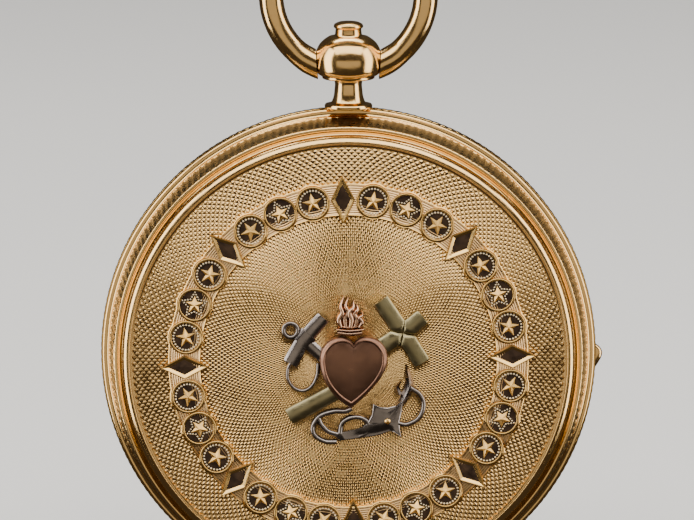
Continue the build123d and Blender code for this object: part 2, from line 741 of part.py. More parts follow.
def click_spring():
    """The blade that presses the click towards the ratchet."""
    line = bearing(BARREL, CLICK)
    root = about(BARREL, 4.2, line + 62)
    middle = about(BARREL, 5.15, line + 30)
    tip = about(CLICK, 0.78, line + 25)
    blade = trace(Spline(root, middle, tip), 0.14)
    foot = Pos(*root) * Circle(0.5)
    return slab(blade + foot, BARREL_BRIDGE_TOP, BARREL_BRIDGE_TOP + 0.2)


def centre_pinion(phase):
    """The hollow centre arbor and its leaves, turned by the barrel."""
    tube = disc(CENTRE, CENTRE_ARBOR_R, -PLATE_THICK, BRIDGE_TOP)
    leaves = gear(CENTRE, CENTRE_LEAVES, BARREL_MODULE, phase["centre_pinion"], 0.1, 0.85)
    return tube + leaves - disc(CENTRE, SETTING_ARBOR_R + FIT, -3, 5)


def train_wheel(centre, teeth, module, phase, levels, bore):
    """A crossed-out brass wheel."""
    face = gear_face(teeth, module, phase)
    pitch_r = module * teeth / 2
    return crossed_wheel(centre, face, 0.84 * pitch_r, 0.26 * pitch_r, bore, levels)


def pinion(centre, leaves, module, phase, levels, shaft):
    """A steel pinion cut on its arbor. shaft is the arbor's low and high end."""
    body = gear(centre, leaves, module, phase, *levels)
    return body + staff(centre, ARBOR_R * 0.7, *shaft)


def escape_wheel():
    """The escape wheel, with a raised hooked tooth for each beat."""
    points = []
    pitch = 360 / ESCAPE_TEETH
    for tooth in range(ESCAPE_TEETH):
        angle = tooth * pitch
        for radius, share in ((2.0, 0.0), (ESCAPE_R, 0.3), (ESCAPE_R, 0.42), (2.0, 0.36)):
            points.append(about((0, 0), radius, angle + share * pitch))
    face = make_face(Polyline(*points, close=True))
    return crossed_wheel(ESCAPE, face, 1.75, 0.5, ARBOR_R * 0.7, (0.35, 0.75), 3)


def balance_wheel():
    """The plain gold balance with three arms."""
    rim = Circle(BALANCE_R)
    return crossed_wheel(BALANCE, rim, BALANCE_R - 0.5, 0.8, 0.2, (2.3, 2.6), 3)


def balance_staff():
    """The staff with the notched cylinder that the escape teeth drive."""
    body = staff(BALANCE, 0.2, 0.05, 2.9)
    shell = disc(BALANCE, 0.25, 0.3, 1.0)
    notch = slab(Pos(*about(BALANCE, 0.3, 10)) * Rectangle(0.24, 0.24), 0.4, 0.7)
    return body + shell - notch


# --- Motion work, dial and hands -------------------------------------------------------------


def setting_arbor():
    """The arbor through the hollow centre pinion, squared at the back for the key."""
    shaft = disc(CENTRE, SETTING_ARBOR_R, height_of(3.75), BRIDGE_TOP + 0.05)
    return shaft + slab(Rectangle(0.85, 0.85), BRIDGE_TOP + 0.05, SQUARE_TOP)


def cannon_pinion(phase):
    """The pinion on the setting arbor that carries the minute hand."""
    leaves = gear(CENTRE, CANNON_LEAVES, MINUTE_MODULE, phase["cannon"],
                  height_of(2.0), height_of(1.72))
    pipe = disc(CENTRE, 0.45, height_of(3.6), height_of(1.65))
    return leaves + pipe - disc(CENTRE, SETTING_ARBOR_R, -5, 5)


def minute_wheel(phase):
    """The wheel and pinion that reduce the minute hand's turn to the hour hand's."""
    wheel = gear(MINUTE_POST, MINUTE_TEETH, MINUTE_MODULE, phase["minute"],
                 height_of(1.93), height_of(1.75))
    leaves = gear(MINUTE_POST, MINUTE_LEAVES, HOUR_MODULE, 0.0, height_of(2.25), height_of(1.93))
    return wheel + leaves - disc(MINUTE_POST, 0.2 + FIT, -5, 5)


def hour_wheel(phase):
    """The wheel whose pipe carries the hour hand."""
    wheel = gear(CENTRE, HOUR_TEETH, HOUR_MODULE, phase["hour"], height_of(2.24), height_of(2.06))
    pipe = disc(CENTRE, 0.75, height_of(3.15), height_of(2.06))
    return wheel + pipe - disc(CENTRE, 0.5, -5, 5)


def hand(angle, length, hub_r, bore_r, ring_at, levels):
    """A hand with a pierced ring towards its tip. angle is clockwise as the dial is seen."""
    stem = outline([(0.35, 0), (0.12, length), (-0.12, length), (-0.35, 0)])
    moon = Pos(0, ring_at) * Circle(0.075 * length)
    opening = Pos(0.01 * length, ring_at) * Circle(0.045 * length)
    face = stem + moon - opening + Circle(hub_r) - Circle(bore_r)
    return slab(Rot(0, 0, angle) * face, *levels)


def dial_feet():
    """The posts that hold the dial in the main plate."""
    places = [about(CENTRE, 14.6, angle) for angle in (40, 185, 280)]
    return [disc(place, 0.4, height_of(2.4), height_of(1.0)) for place in places]


def dial():
    """The slightly domed enamelled dial with its feet."""
    plate = turned([
        (0.95, 2.35), (DIAL_R, 2.35), (DIAL_R, 2.6), (16.5, 2.75), (0.95, 2.9, 0.03)])
    return plate + dial_feet()


# --- The whole watch --------------------------------------------------------------------------


def case_nodes():
    """The case, its covers, their hinge pins, the pendant and the bow."""
    outside = envelope()
    middle = case_blank() - case_screw_pockets()
    middle, back = hinged_pair(middle, back_blank(), BACK_SEAT_Y, outside, -1)
    middle, bezel = hinged_pair(middle, bezel_blank(), FRONT_SEAT_Y, outside, 1)
    middle, cuvette = cuvette_hinge(middle, cuvette_blank())
    neck = pendant() - middle
    pin = (HINGE_PIN_R, -HINGE_PIN_HALF, HINGE_PIN_HALF)
    small = (CUVETTE_PIN_R, -CUVETTE_HINGE_HALF, CUVETTE_HINGE_HALF)
    nodes = {
        "case_middle": middle, "back_cover": back, "bezel": bezel, "cuvette": cuvette,
        "pendant": neck, "pendant_cap": pendant_cap(neck), "bow": bow(),
        "crystal": crystal(), "thumb_piece": thumb_piece(bezel),
        "back_hinge_pin": rod(HINGE_X, BACK_SEAT_Y, *pin),
        "bezel_hinge_pin": rod(HINGE_X, FRONT_SEAT_Y, *pin),
        "cuvette_hinge_pin": rod(CUVETTE_HINGE_X, CUVETTE_HINGE_Y, *small)}
    nodes.update(emblem(back))
    nodes["medallion_rims"] = medallion_rims() - back
    nodes["enamel_discs"] = enamel_discs() - back
    nodes["lozenges"] = lozenges() - back
    return nodes


def movement_frame_nodes():
    """The plate, the bridges, and what is fixed to them."""
    screws, holders = bridge_screws(), case_screws()
    space, holes = screw_space(screws), jewel_holes()
    return {
        "main_plate": main_plate(screws, holders),
        "barrel_bridge": barrel_bridge(space),
        "centre_bridge": centre_bridge(space),
        "third_bridge": arm([THIRD_FOOT], THIRD, 1.0, BRIDGE_LOW, BRIDGE_TOP) - space - holes,
        "fourth_bridge": arm([FOURTH_FOOT], FOURTH, 0.9, BRIDGE_LOW, BRIDGE_TOP) - space - holes,
        "escape_cock": arm(
            [ESCAPE_FOOT], ESCAPE, 0.9, ESCAPE_COCK_LOW, ESCAPE_COCK_TOP) - space - holes,
        "balance_cock": balance_cock(space) - holes,
        "bridge_screws": screws, "case_screws": holders, "jewels": jewels(),
        "click_spring": click_spring(), "dial": dial()}


def train_nodes():
    """The barrel, the wheels from the mainspring to the balance, and the regulator."""
    phase = phases()
    bore = ARBOR_R * 0.7
    return {
        "barrel_drum": barrel_drum(phase), "barrel_cover": barrel_cover(),
        "mainspring": spiral_strip(BARREL, 2.0, 6.35, 9, 0.14, -0.6, 0.85),
        "barrel_arbor": barrel_arbor(), "ratchet_wheel": ratchet_wheel(), "click": click(),
        "centre_pinion": centre_pinion(phase),
        "centre_wheel": train_wheel(
            CENTRE, CENTRE_TEETH, CENTRE_MODULE, phase["centre"], (1.5, 1.75), CENTRE_ARBOR_R),
        "third_pinion": pinion(
            THIRD, THIRD_LEAVES, CENTRE_MODULE, phase["third_pinion"], (1.35, 1.9), (0.05, 2.25)),
        "third_wheel": train_wheel(
            THIRD, THIRD_TEETH, THIRD_MODULE, phase["third"], (0.45, 0.65), bore),
        "fourth_pinion": pinion(
            FOURTH, FOURTH_LEAVES, THIRD_MODULE, phase["fourth_pinion"], (0.3, 0.8), (0.05, 2.25)),
        "fourth_wheel": train_wheel(
            FOURTH, FOURTH_TEETH, FOURTH_MODULE, phase["fourth"], (1.0, 1.2), bore),
        "escape_pinion": pinion(
            ESCAPE, ESCAPE_LEAVES, FOURTH_MODULE, phase["escape_pinion"], (0.9, 1.35), (0.05, 1.45)),
        "escape_wheel": escape_wheel(),
        "balance_wheel": balance_wheel(), "balance_staff": balance_staff(),
        "hairspring": spiral_strip(BALANCE, 0.55, 3.2, 7, 0.07, 2.66, 2.8),
        "regulator_index": regulator_index()}


def hand_nodes():
    """The motion work under the dial and the hands."""
    phase = phases()
    hour_levels = (height_of(3.13), height_of(3.01))
    minute_levels = (height_of(3.57), height_of(3.45))
    return {
        "setting_arbor": setting_arbor(), "cannon_pinion": cannon_pinion(phase),
        "minute_wheel": minute_wheel(phase), "hour_wheel": hour_wheel(phase),
        "hour_hand": hand(HOUR_ANGLE, HOUR_LENGTH, 1.25, 0.75, 5.7, hour_levels),
        "minute_hand": hand(MINUTE_ANGLE, MINUTE_LENGTH, 0.95, 0.45, 9.6, minute_levels)}


def main():
    """Builds every node and writes it, lowered to the frame's origin."""
    os.makedirs("parts", exist_ok=True)
    for group in (case_nodes, movement_frame_nodes, train_nodes, hand_nodes):
        for name, shape in group().items():
            placed = Pos(0, 0, -HANG_Z) * shape
            export_step(placed, f"parts/{name}.step")


if __name__ == "__main__":
    main()
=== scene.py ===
import json

import bpy
import bmesh
import numpy as np
from math import asin, cos, pi, radians, sin
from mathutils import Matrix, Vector

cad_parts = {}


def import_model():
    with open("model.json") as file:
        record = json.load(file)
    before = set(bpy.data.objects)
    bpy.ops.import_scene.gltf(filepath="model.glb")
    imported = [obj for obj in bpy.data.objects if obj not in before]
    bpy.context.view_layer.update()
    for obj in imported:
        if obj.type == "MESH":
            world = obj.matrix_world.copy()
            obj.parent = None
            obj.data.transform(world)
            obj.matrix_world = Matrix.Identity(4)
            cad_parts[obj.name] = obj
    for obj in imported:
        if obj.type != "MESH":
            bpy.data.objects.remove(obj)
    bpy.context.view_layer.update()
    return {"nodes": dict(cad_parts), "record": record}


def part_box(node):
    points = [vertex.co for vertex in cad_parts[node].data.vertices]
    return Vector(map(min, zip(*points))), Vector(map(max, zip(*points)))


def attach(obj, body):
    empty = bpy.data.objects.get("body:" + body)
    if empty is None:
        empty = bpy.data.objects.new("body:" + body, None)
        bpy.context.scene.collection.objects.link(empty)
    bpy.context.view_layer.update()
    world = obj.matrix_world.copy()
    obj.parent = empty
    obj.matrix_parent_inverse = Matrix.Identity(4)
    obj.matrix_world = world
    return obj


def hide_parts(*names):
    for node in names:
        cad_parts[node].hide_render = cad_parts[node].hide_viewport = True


# A pocket watch, seen from its decorated back. Shapes are made in millimetres about the centre
# of the case: X right, Y from the back towards the dial, Z up to the bow. place() then moves
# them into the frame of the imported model, in metres.

MM = 0.001
CUTS, CUT_ROW, CUT_SWAY, CUT_SLOPE, CUT_DEPTH = 198, 0.245, 0.44, 0.34, 0.13
REEDS, REED_DEPTH, BELT_R = 198, 0.03, 20.9
DOME_APEX, DOME_DROP, DECOR_EDGE = -5.1, 0.7, 18.2
DECOR_TURN, DECOR_R, DECOR_PARTS = -1.94, 13.8, 8
BAND_INNER, BAND_OUTER, BAND_BULGE = 12.5, 15.08, 1.5
MEDALLION_STEPS = (10.56, 22.5, 34.44)
HINGE_X, HINGE_R, HINGE_ROOM, HINGE_SWEEP, HINGE_HALF = -19.4, 0.75, 0.78, 0.9, 5.15
BACK_SEAT, FRONT_SEAT = -2.35, 2.4
EDGE_R, EDGE_Y, RIDGE_R, RIDGE_Y = 19.78, 3.3, 20.25, 1.0
SUNK_FROM_R, SUNK_TO_R, SUNK_FROM_Y = 19.74, 20.26, 1.02
POCKET_ANGLES, POCKET_CIRCLE, POCKET_R = (20.0, 165.0, 262.0), 15.9, 1.15
BALL_Z, BALL_ROOM = 24.8, 2.93
DIAL_R, DIAL_EDGE_Y, NUMERAL_R = 16.5, 2.753, 12.2

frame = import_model()
low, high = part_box("case_middle")
HANG = -(low.z + high.z) / 2 / MM
FLOOR_Z = low.z


# --- Building meshes ------------------------------------------------------------------------


def place(points):
    """Points about the case's centre, in millimetres, as points of the frame."""
    return (np.asarray(points, float) - (0, 0, HANG)) * MM


class Pile:
    """Points and faces of several simple shapes that make one piece."""

    def __init__(self):
        self.points, self.faces, self.count = [], [], 0

    def add(self, points, faces):
        points = np.asarray(points, float).reshape(-1, 3)
        self.points.append(points)
        self.faces += [[i + self.count for i in face] for face in faces]
        self.count += len(points)

    def piece(self, name, *values, **named):
        """One piece of everything in the pile; the other values are those of piece()."""
        return piece(name, np.concatenate(self.points), self.faces, *values, **named)


def piece(name, points, faces, material, body, slot, replaces=(), smooth=35, weld=False):
    """A mesh object that rides on a body of the frame."""
    mesh = bpy.data.meshes.new(name)
    mesh.from_pydata(place(points).tolist(), [], [list(face) for face in faces])
    if weld:
        shape = bmesh.new()
        shape.from_mesh(mesh)
        bmesh.ops.remove_doubles(shape, verts=shape.verts, dist=1e-7)
        bmesh.ops.dissolve_degenerate(shape, edges=shape.edges, dist=1e-8)
        bmesh.ops.recalc_face_normals(shape, faces=shape.faces)
        shape.to_mesh(mesh)
        shape.free()
    shade(mesh, smooth)
    mesh.materials.append(material)
    item = bpy.data.objects.new(name, mesh)
    bpy.context.scene.collection.objects.link(item)
    if body:
        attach(item, body)
    if replaces:
        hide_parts(*replaces)
    return item


def shade(mesh, smooth):
    """Smooth shading with sharp edges over an angle, or flat shading at 0."""
    mesh.polygons.foreach_set("use_smooth", [bool(smooth)] * len(mesh.polygons))
    if smooth:
        mesh.set_sharp_from_angle(angle=radians(smooth))
    mesh.update()


def grid_faces(rows, columns, round_columns=True, round_rows=False):
    """Quads over a grid of points that is listed row by row."""
    across = columns if round_columns else columns - 1
    along = rows if round_rows else rows - 1
    row, column = np.meshgrid(np.arange(along), np.arange(across), indexing="ij")
    beside, below = (column + 1) % columns, (row + 1) % rows
    corners = [row * columns + column, row * columns + beside,
               below * columns + beside, below * columns + column]
    return np.stack(corners, -1).reshape(-1, 4).tolist()


def bowed(points, step=0.12):
    """A profile whose points may carry a third value, the sagitta of the arc that ends there."""
    line = [tuple(points[0][:2])]
    for point in points[1:]:
        start, end = np.array(line[-1]), np.array(point[:2])
        chord = end - start
        length = np.hypot(*chord)
        if len(point) == 3 and length > 0:
            side = np.array([-chord[1], chord[0]]) / length
            count = max(3, int(length / step) + 1)
            for n in range(1, count):
                t = n / count
                line.append(tuple(start + chord * t + side * point[2] * 4 * t * (1 - t)))
        line.append(tuple(end))
    return line


def turned(profile, columns, reeding=None, closed=True):
    """Points and faces turned about the watch's axis. reeding(r, y, angle) gives new radii."""
    angle = np.arange(columns) * 2 * pi / columns
    points = []
    for r, y in profile:
        radius = np.full(columns, float(r))
        if reeding is not None and r > 0:
            radius = reeding(r, y, angle)
        points.append(np.stack([radius * np.sin(angle), np.full(columns, float(y)),
                                radius * np.cos(angle)], -1))
    return np.concatenate(points), grid_faces(len(profile), columns, True, closed)


def upright(profile, columns=96):
    """Points and faces turned about the pendant's axis, from radius and Z."""
    points, faces = turned(profile, columns, closed=False)
    return points[:, [0, 2, 1]], faces


def tube(centres, radii, sides):
    """Points and faces of a round bar through centres in the XZ plane, with a radius at each."""
    centres, up = np.asarray(centres, float), np.array([0.0, 1.0, 0.0])
    points = []
    tangents = np.gradient(centres, axis=0)
    turn = np.arange(sides) * 2 * pi / sides
    for centre, tangent, radius in zip(centres, tangents, radii):
        tangent = tangent / np.linalg.norm(tangent)
        normal = up - tangent * np.dot(up, tangent)
        normal /= np.linalg.norm(normal)
        side = np.cross(tangent, normal)
        points.append(centre + radius * (np.outer(np.cos(turn), side)
                                         + np.outer(np.sin(turn), normal)))
    faces = grid_faces(len(centres), sides)
    last = (len(centres) - 1) * sides
    faces += [list(range(sides))[::-1], list(range(last, last + sides))]
    return np.concatenate(points), faces


def spline(points, count=8):
    """A smooth line through points (Catmull-Rom), with count steps between each two."""
    points = np.asarray(points, float)
    padded = np.vstack([2 * points[0] - points[1], points, 2 * points[-1] - points[-2]])
    line = []
    for n in range(len(points) - 1):
        a, b, c, d = padded[n:n + 4]
        for t in np.arange(count) / count:
            line.append(0.5 * (2 * b + (c - a) * t + (2 * a - 5 * b + 4 * c - d) * t ** 2
                               + (3 * b - a - 3 * c + d) * t ** 3))
    line.append(points[-1])
    return np.array(line)


# --- Cutting the hinges ---------------------------------------------------------------------


def loose(name, points, faces):
    """An object that rides on no body, for cutting others with."""
    return piece(name, points, faces, GOLD, None, None, weld=True)


def bar_faces(sides):
    """The side and the two ends of a round bar."""
    return grid_faces(2, sides) + [list(range(sides))[::-1], list(range(sides, 2 * sides))]


def rod_mesh(name, x, y, radius, low_z, high_z, sides=48):
    """A round bar along Z, as a loose object for cutting."""
    turn = np.arange(sides) * 2 * pi / sides
    circle = np.stack([x + radius * np.cos(turn), y + radius * np.sin(turn)], -1)
    points = [(cx, cy, z) for z in (low_z, high_z) for cx, cy in circle]
    return loose(name, points, bar_faces(sides))


def disc_mesh(name, x, z, radius, low_y, high_y, sides=48):
    """A round bar along Y, as a loose object for cutting."""
    turn = np.arange(sides) * 2 * pi / sides
    points = [(x + radius * cos(t), y, z + radius * sin(t)) for y in (low_y, high_y) for t in turn]
    return loose(name, points, bar_faces(sides))


def box_mesh(name, low_corner, high_corner):
    """A block, as a loose object for cutting."""
    (x0, y0, z0), (x1, y1, z1) = low_corner, high_corner
    points = [(x, y, z) for x in (x0, x1) for y in (y0, y1) for z in (z0, z1)]
    faces = [[0, 1, 3, 2], [4, 6, 7, 5], [0, 4, 5, 1], [2, 3, 7, 6], [0, 2, 6, 4], [1, 5, 7, 3]]
    return loose(name, points, faces)


def combine(item, others, operation):
    """Applies a boolean with each of the other objects, and removes them."""
    for other in others:
        change = item.modifiers.new("cut", "BOOLEAN")
        change.operation = operation
        change.object = other
        change.solver = "MANIFOLD"
        holder = bpy.context.evaluated_depsgraph_get()
        holder.update()
        mesh = bpy.data.meshes.new_from_object(item.evaluated_get(holder))
        item.modifiers.clear()
        item.data = mesh
        bpy.data.objects.remove(other)


def coat(item, *materials, smooth):
    """Materials and shading again after cutting."""
    item.data.materials.clear()
    for material in materials:
        item.data.materials.append(material)
    shade(item.data, smooth)


def knuckle_spans(first):
    """The Z spans of every other knuckle of a five-knuckle hinge."""
    step = 2 * HINGE_HALF / 5
    return [(-HINGE_HALF + n * step, -HINGE_HALF + (n + 1) * step) for n in range(first, 5, 2)]


def cut_hinge(fixed, moving, y):
    """Cuts the sockets of a hinge into the case and a cover."""
    gap = HINGE_ROOM - HINGE_R
    for item, first in ((fixed, 1), (moving, 0)):
        sockets = [rod_mesh("socket", HINGE_X, y, HINGE_ROOM, a - gap, b + gap)
                   for a, b in knuckle_spans(first)]
        combine(item, sockets, "DIFFERENCE")
    swept = rod_mesh("swept", HINGE_X, y, HINGE_SWEEP, -HINGE_HALF - 0.05, HINGE_HALF + 0.05)
    room = box_mesh("room", (HINGE_X, y - 2, -6), (HINGE_X + 2, y + 2, 6))
    keep = [room] + [rod_mesh("keep", HINGE_X, y, HINGE_R, a, b) for a, b in knuckle_spans(1)]
    combine(swept, keep, "DIFFERENCE")
    combine(moving, [swept], "DIFFERENCE")


def hinge_knuckles(name, y, first, body, outside):
    """The knuckles of one leaf, flush with the outside of the case."""
    spans = knuckle_spans(first)
    gap = (HINGE_ROOM - HINGE_R) / 2
    rods = [rod_mesh(name, HINGE_X, y, HINGE_R, a + gap, b - gap) for a, b in spans]
    item = rods[0]
    combine(item, rods[1:], "UNION")
    skin = outside.copy()
    skin.data = outside.data.copy()
    bpy.context.scene.collection.objects.link(skin)
    combine(item, [skin], "INTERSECT")
    coat(item, GOLD, smooth=35)
    item.name = name
    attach(item, body)


# --- Materials ------------------------------------------------------------------------------


class Nodes:
    """A small helper to wire a material."""

    def __init__(self, name):
        self.material = bpy.data.materials.new(name)
        self.material.use_nodes = True
        self.tree = self.material.node_tree
        self.shader = self.tree.nodes["Principled BSDF"]

    def new(self, kind, **values):
        node = self.tree.nodes.new(kind)
        for key, value in values.items():
            if key in node.inputs:
                node.inputs[key].default_value = value
            else:
                setattr(node, key, value)
        return node

    def wire(self, start, output, end, socket):
        self.tree.links.new(start.outputs[output], end.inputs[socket])

    def noise(self, scale, detail=3.0, stretch=None):
        """A noise texture over the object's own coordinates, in turns per metre."""
        where = self.new("ShaderNodeTexCoord")
        texture = self.new("ShaderNodeTexNoise", Scale=scale, Detail=detail)
        if stretch is None:
            self.wire(where, "Object", texture, "Vector")
        else:
            mapping = self.new("ShaderNodeMapping", Scale=stretch)
            self.wire(where, "Object", mapping, "Vector")
            self.wire(mapping, "Vector", texture, "Vector")
        return texture

    def spread(self, source, output, low_in, high_in, low_out, high_out):
        """A value mapped from one range to another."""
        node = self.new("ShaderNodeMapRange")
        for key, value in (("From Min", low_in), ("From Max", high_in),
                           ("To Min", low_out), ("To Max", high_out)):
            node.inputs[key].default_value = value
        self.wire(source, output, node, "Value")
        return node

    def mix(self, factor, output, first, second):
        """A colour between two colours."""
        node = self.new("ShaderNodeMix", data_type="RGBA")
        node.inputs[6].default_value = (*first, 1)
        node.inputs[7].default_value = (*second, 1)
        self.wire(factor, output, node, 0)
        return node


def metal(name, colour, dark, rough, cavity=0.0, grain=0.02, tarnish=0.12):
    """A metal with patchy tarnish, fine scratches and darker hollows."""
    nodes = Nodes(name)
    patches = nodes.noise(420, 4)
    amount = nodes.spread(patches, "Fac", 0.42, 0.72, 0.0, tarnish)
    tone = nodes.mix(amount, "Result", colour, dark)
    result = tone
    if cavity > 0:
        shape = nodes.new("ShaderNodeNewGeometry")
        hollow = nodes.spread(shape, "Pointiness", 0.49, 0.44, 0.0, cavity)
        deeper = nodes.new("ShaderNodeMix", data_type="RGBA")
        deeper.inputs[7].default_value = (*[c * 0.25 for c in dark], 1)
        nodes.wire(hollow, "Result", deeper, 0)
        nodes.tree.links.new(tone.outputs[2], deeper.inputs[6])
        result = deeper
    nodes.tree.links.new(result.outputs[2], nodes.shader.inputs["Base Color"])
    wear = nodes.noise(1500, 6)
    roughness = nodes.spread(wear, "Fac", 0.3, 0.7, rough * 0.75, rough * 1.3)
    nodes.wire(roughness, "Result", nodes.shader, "Roughness")
    nodes.shader.inputs["Metallic"].default_value = 1.0
    if grain > 0:
        scratch = nodes.noise(9000, 4)
        bump = nodes.new("ShaderNodeBump", Strength=grain, Distance=0.00002)
        nodes.wire(scratch, "Fac", bump, "Height")
        nodes.wire(bump, "Normal", nodes.shader, "Normal")
    return nodes.material


def glossy(name, colour, other, rough, scale=600, coat=0.0, shine=0.5):
    """A smooth hard surface that isn't metal, with slightly uneven colour."""
    nodes = Nodes(name)
    patches = nodes.noise(scale, 3)
    amount = nodes.spread(patches, "Fac", 0.35, 0.65, 0.0, 1.0)
    tone = nodes.mix(amount, "Result", colour, other)
    nodes.tree.links.new(tone.outputs[2], nodes.shader.inputs["Base Color"])
    wear = nodes.noise(1500, 4)
    roughness = nodes.spread(wear, "Fac", 0.3, 0.7, rough * 0.7, rough * 1.4)
    nodes.wire(roughness, "Result", nodes.shader, "Roughness")
    nodes.shader.inputs["Coat Weight"].default_value = coat
    nodes.shader.inputs["Specular IOR Level"].default_value = shine
    return nodes.material


def clear_glass(name):
    """The crystal: thin, clear, with faint wear."""
    nodes = Nodes(name)
    nodes.shader.inputs["Base Color"].default_value = (0.97, 0.98, 0.98, 1)
    nodes.shader.inputs["Transmission Weight"].default_value = 1.0
    nodes.shader.inputs["IOR"].default_value = 1.45
    wear = nodes.noise(900, 4)
    roughness = nodes.spread(wear, "Fac", 0.4, 0.8, 0.0, 0.03)
    nodes.wire(roughness, "Result", nodes.shader, "Roughness")
    return nodes.material


GOLD = metal("polished_gold", (0.80, 0.515, 0.20), (0.55, 0.33, 0.11), 0.17, 0.3)
CUT_GOLD = metal("engine_turned_gold", (0.82, 0.52, 0.20), (0.60, 0.36, 0.13), 0.24, 0.9, 0)
BAND_GOLD = metal("lined_gold", (0.66, 0.42, 0.19), (0.46, 0.28, 0.12), 0.3, 0.7, 0)
RIM_GOLD = metal("yellow_gold", (0.86, 0.55, 0.19), (0.52, 0.30, 0.09), 0.2, 0.6, 0)
# Painted shade: a much darker copy of the gold, used only on the sunk reeded wall of the case and
# covers.
SHADED_WALL_GOLD = metal("reeded_gold_painted_shade", (0.19, 0.14, 0.07), (0.10, 0.075, 0.04), 0.3, 0.5, 0)
STAR_GOLD = metal("star_gold", (0.60, 0.37, 0.12), (0.42, 0.24, 0.07), 0.3, 0.0, 0)
BEAD_GOLD = metal("beaded_gold", (0.95, 0.80, 0.55), (0.80, 0.62, 0.38), 0.45, 0.0, 0)
ROSE = metal("rose_gold", (0.25, 0.135, 0.09), (0.13, 0.07, 0.05), 0.36, 0.2, 0.15, 0.6)
FLAME = metal("flame_gold", (0.55, 0.34, 0.22), (0.30, 0.17, 0.11), 0.24, 0.7, 0.1, 0.3)
GREEN = metal("green_gold", (0.36, 0.31, 0.17), (0.18, 0.15, 0.075), 0.38, 0.5, 0.15, 0.5)
WHITE = metal("oxidised_white_gold", (0.29, 0.255, 0.235), (0.10, 0.085, 0.08), 0.22, 0.8,
              0.15, 0.6)
GILT = metal("frosted_gilt", (0.84, 0.57, 0.25), (0.60, 0.38, 0.15), 0.42, 0.2, 0.5)
STEEL = metal("polished_steel", (0.62, 0.62, 0.63), (0.36, 0.35, 0.35), 0.18, 0.3, 0.1)
BLUE = metal("blued_steel", (0.05, 0.10, 0.42), (0.03, 0.05, 0.20), 0.2, 0.1, 0.05)
RUBY = glossy("ruby", (0.45, 0.02, 0.07), (0.30, 0.01, 0.05), 0.06, 900, 0.5)
ENAMEL = glossy("dial_enamel", (0.88, 0.87, 0.83), (0.84, 0.82, 0.77), 0.12, 300, 0.6)
INK = glossy("fired_black", (0.015, 0.014, 0.016), (0.03, 0.028, 0.03), 0.25, 2000)
DARK = glossy("dark_enamel", (0.016, 0.008, 0.004), (0.035, 0.018, 0.008), 0.5, 1500, 0.0, 0.15)
GLASS = clear_glass("crystal_glass")


# --- The decorated back ---------------------------------------------------------------------


def dome(r):
    """The Y of the back's dome at a radius."""
    return DOME_APEX + DOME_DROP * (np.asarray(r) / DECOR_EDGE) ** 2


def on_dome(x, z, height):
    """A point that stands over the dome by a height."""
    return (x, float(dome(np.hypot(x, z))) - height, z)


def engine_turning(name, first_row, last_row, samples=6):
    """A ring of waved concentric cuts: sharp valleys with two flanks between each pair."""
    columns = CUTS * samples
    angle = np.arange(columns) * 2 * pi / columns
    wave = CUT_SWAY * np.cos(CUTS * angle)
    points = []
    for half in range(2 * first_row, 2 * last_row + 1):
        n, on_ridge = divmod(half, 2)
        swing = wave * (1 if n % 2 == 0 else -1)
        if on_ridge:
            steep = CUT_SLOPE * min(1.0, max(0.3, n / 50))
            u, height = np.full(columns, n + 0.5), (0.5 - swing) * CUT_ROW * steep
        else:
            u, height = n + swing, np.zeros(columns)
        r = u * CUT_ROW
        y = dome(r) + CUT_DEPTH - height
        points.append(np.stack([r * np.sin(angle), y, r * np.cos(angle)], -1))
    piece(name, np.concatenate(points), grid_faces(len(points), columns), CUT_GOLD,
          "back", "case_gold", smooth=0)


def wall_r(y):
    """The radius of the reeded wall at a Y."""
    return EDGE_R + (RIDGE_R - EDGE_R) * (EDGE_Y - abs(y)) / (EDGE_Y - RIDGE_Y)


def reeded(r, y, angle):
    """Radii of the outside with the slanting reeds of the wall and the fine ones of the belt."""
    flat = np.full(len(angle), float(r))
    if r > 19.62 and 0.98 < abs(y) < 3.47:
        slant = pi * (abs(y) - RIDGE_Y) / (EDGE_Y - RIDGE_Y)
        return flat - REED_DEPTH + REED_DEPTH * np.cos(REEDS * angle + slant)
    if r > BELT_R:
        return flat - REED_DEPTH * (1 - np.abs(np.sin(REEDS * angle / 2)))
    return flat


def back_profile():
    """The back cover without its engine turning: narrow rim, bead, cove, edge and reeded wall."""
    outer = [(r, float(dome(r)) + 0.16) for r in (0, 3, 7, 11, 14, 16, 17.4, 18.1)]
    outer += bowed([
        (18.2, -4.26), (18.21, -4.38), (18.24, -4.4), (18.34, -4.42), (18.36, -4.3),
        (18.4, -4.3), (18.42, -4.4), (18.48, -4.44, -0.01), (19.0, -4.08, -0.06),
        (19.05, -3.9, -0.01),
        (19.07, -3.32), (19.14, -3.28), (19.45, -3.5, 0.03), (19.52, -3.53),
        (19.74, -3.47, -0.03), (19.79, -3.36)], 0.06)
    wall = [(wall_r(y), y) for y in (-3.28, -3.0, -2.7, -2.41)]
    seat = [(19.9, -2.4), (18.4, -2.4), (18.4, -3.5), (17.9, -3.9)]
    inner = [(r, -4.65 + 0.75 * (r / 17.9) ** 2) for r in (15, 10, 5, 0)]
    return outer + wall + seat + inner


def case_profile():
    """The case's middle: bore, snap walls, seats, reeded walls, ridges and belt."""
    back = [(wall_r(y), y) for y in (-2.34, -2.0, -1.5, -1.02)]
    front = [(r, -y) for r, y in back[::-1]]
    front[-1] = (wall_r(2.39), 2.39)
    middle = bowed([
        (20.22, -0.99), (20.25, -0.95), (20.7, -0.62, 0.13), (20.72, -0.52), (20.95, -0.4, 0.03),
        (20.97, -0.38), (21.0, -0.3), (21.0, 0.3), (20.97, 0.38), (20.95, 0.4),
        (20.72, 0.52, 0.03), (20.7, 0.62), (20.25, 0.95, 0.13), (20.22, 0.99)], 0.08)
    return ([(16.7, -2.9), (18.3, -2.9), (18.3, -2.35), (19.9, -2.35)] + back + middle + front
            + [(19.9, 2.4), (18.3, 2.4), (18.3, 2.9), (17.3, 2.9), (17.3, 0.3), (16.7, 0.3)])


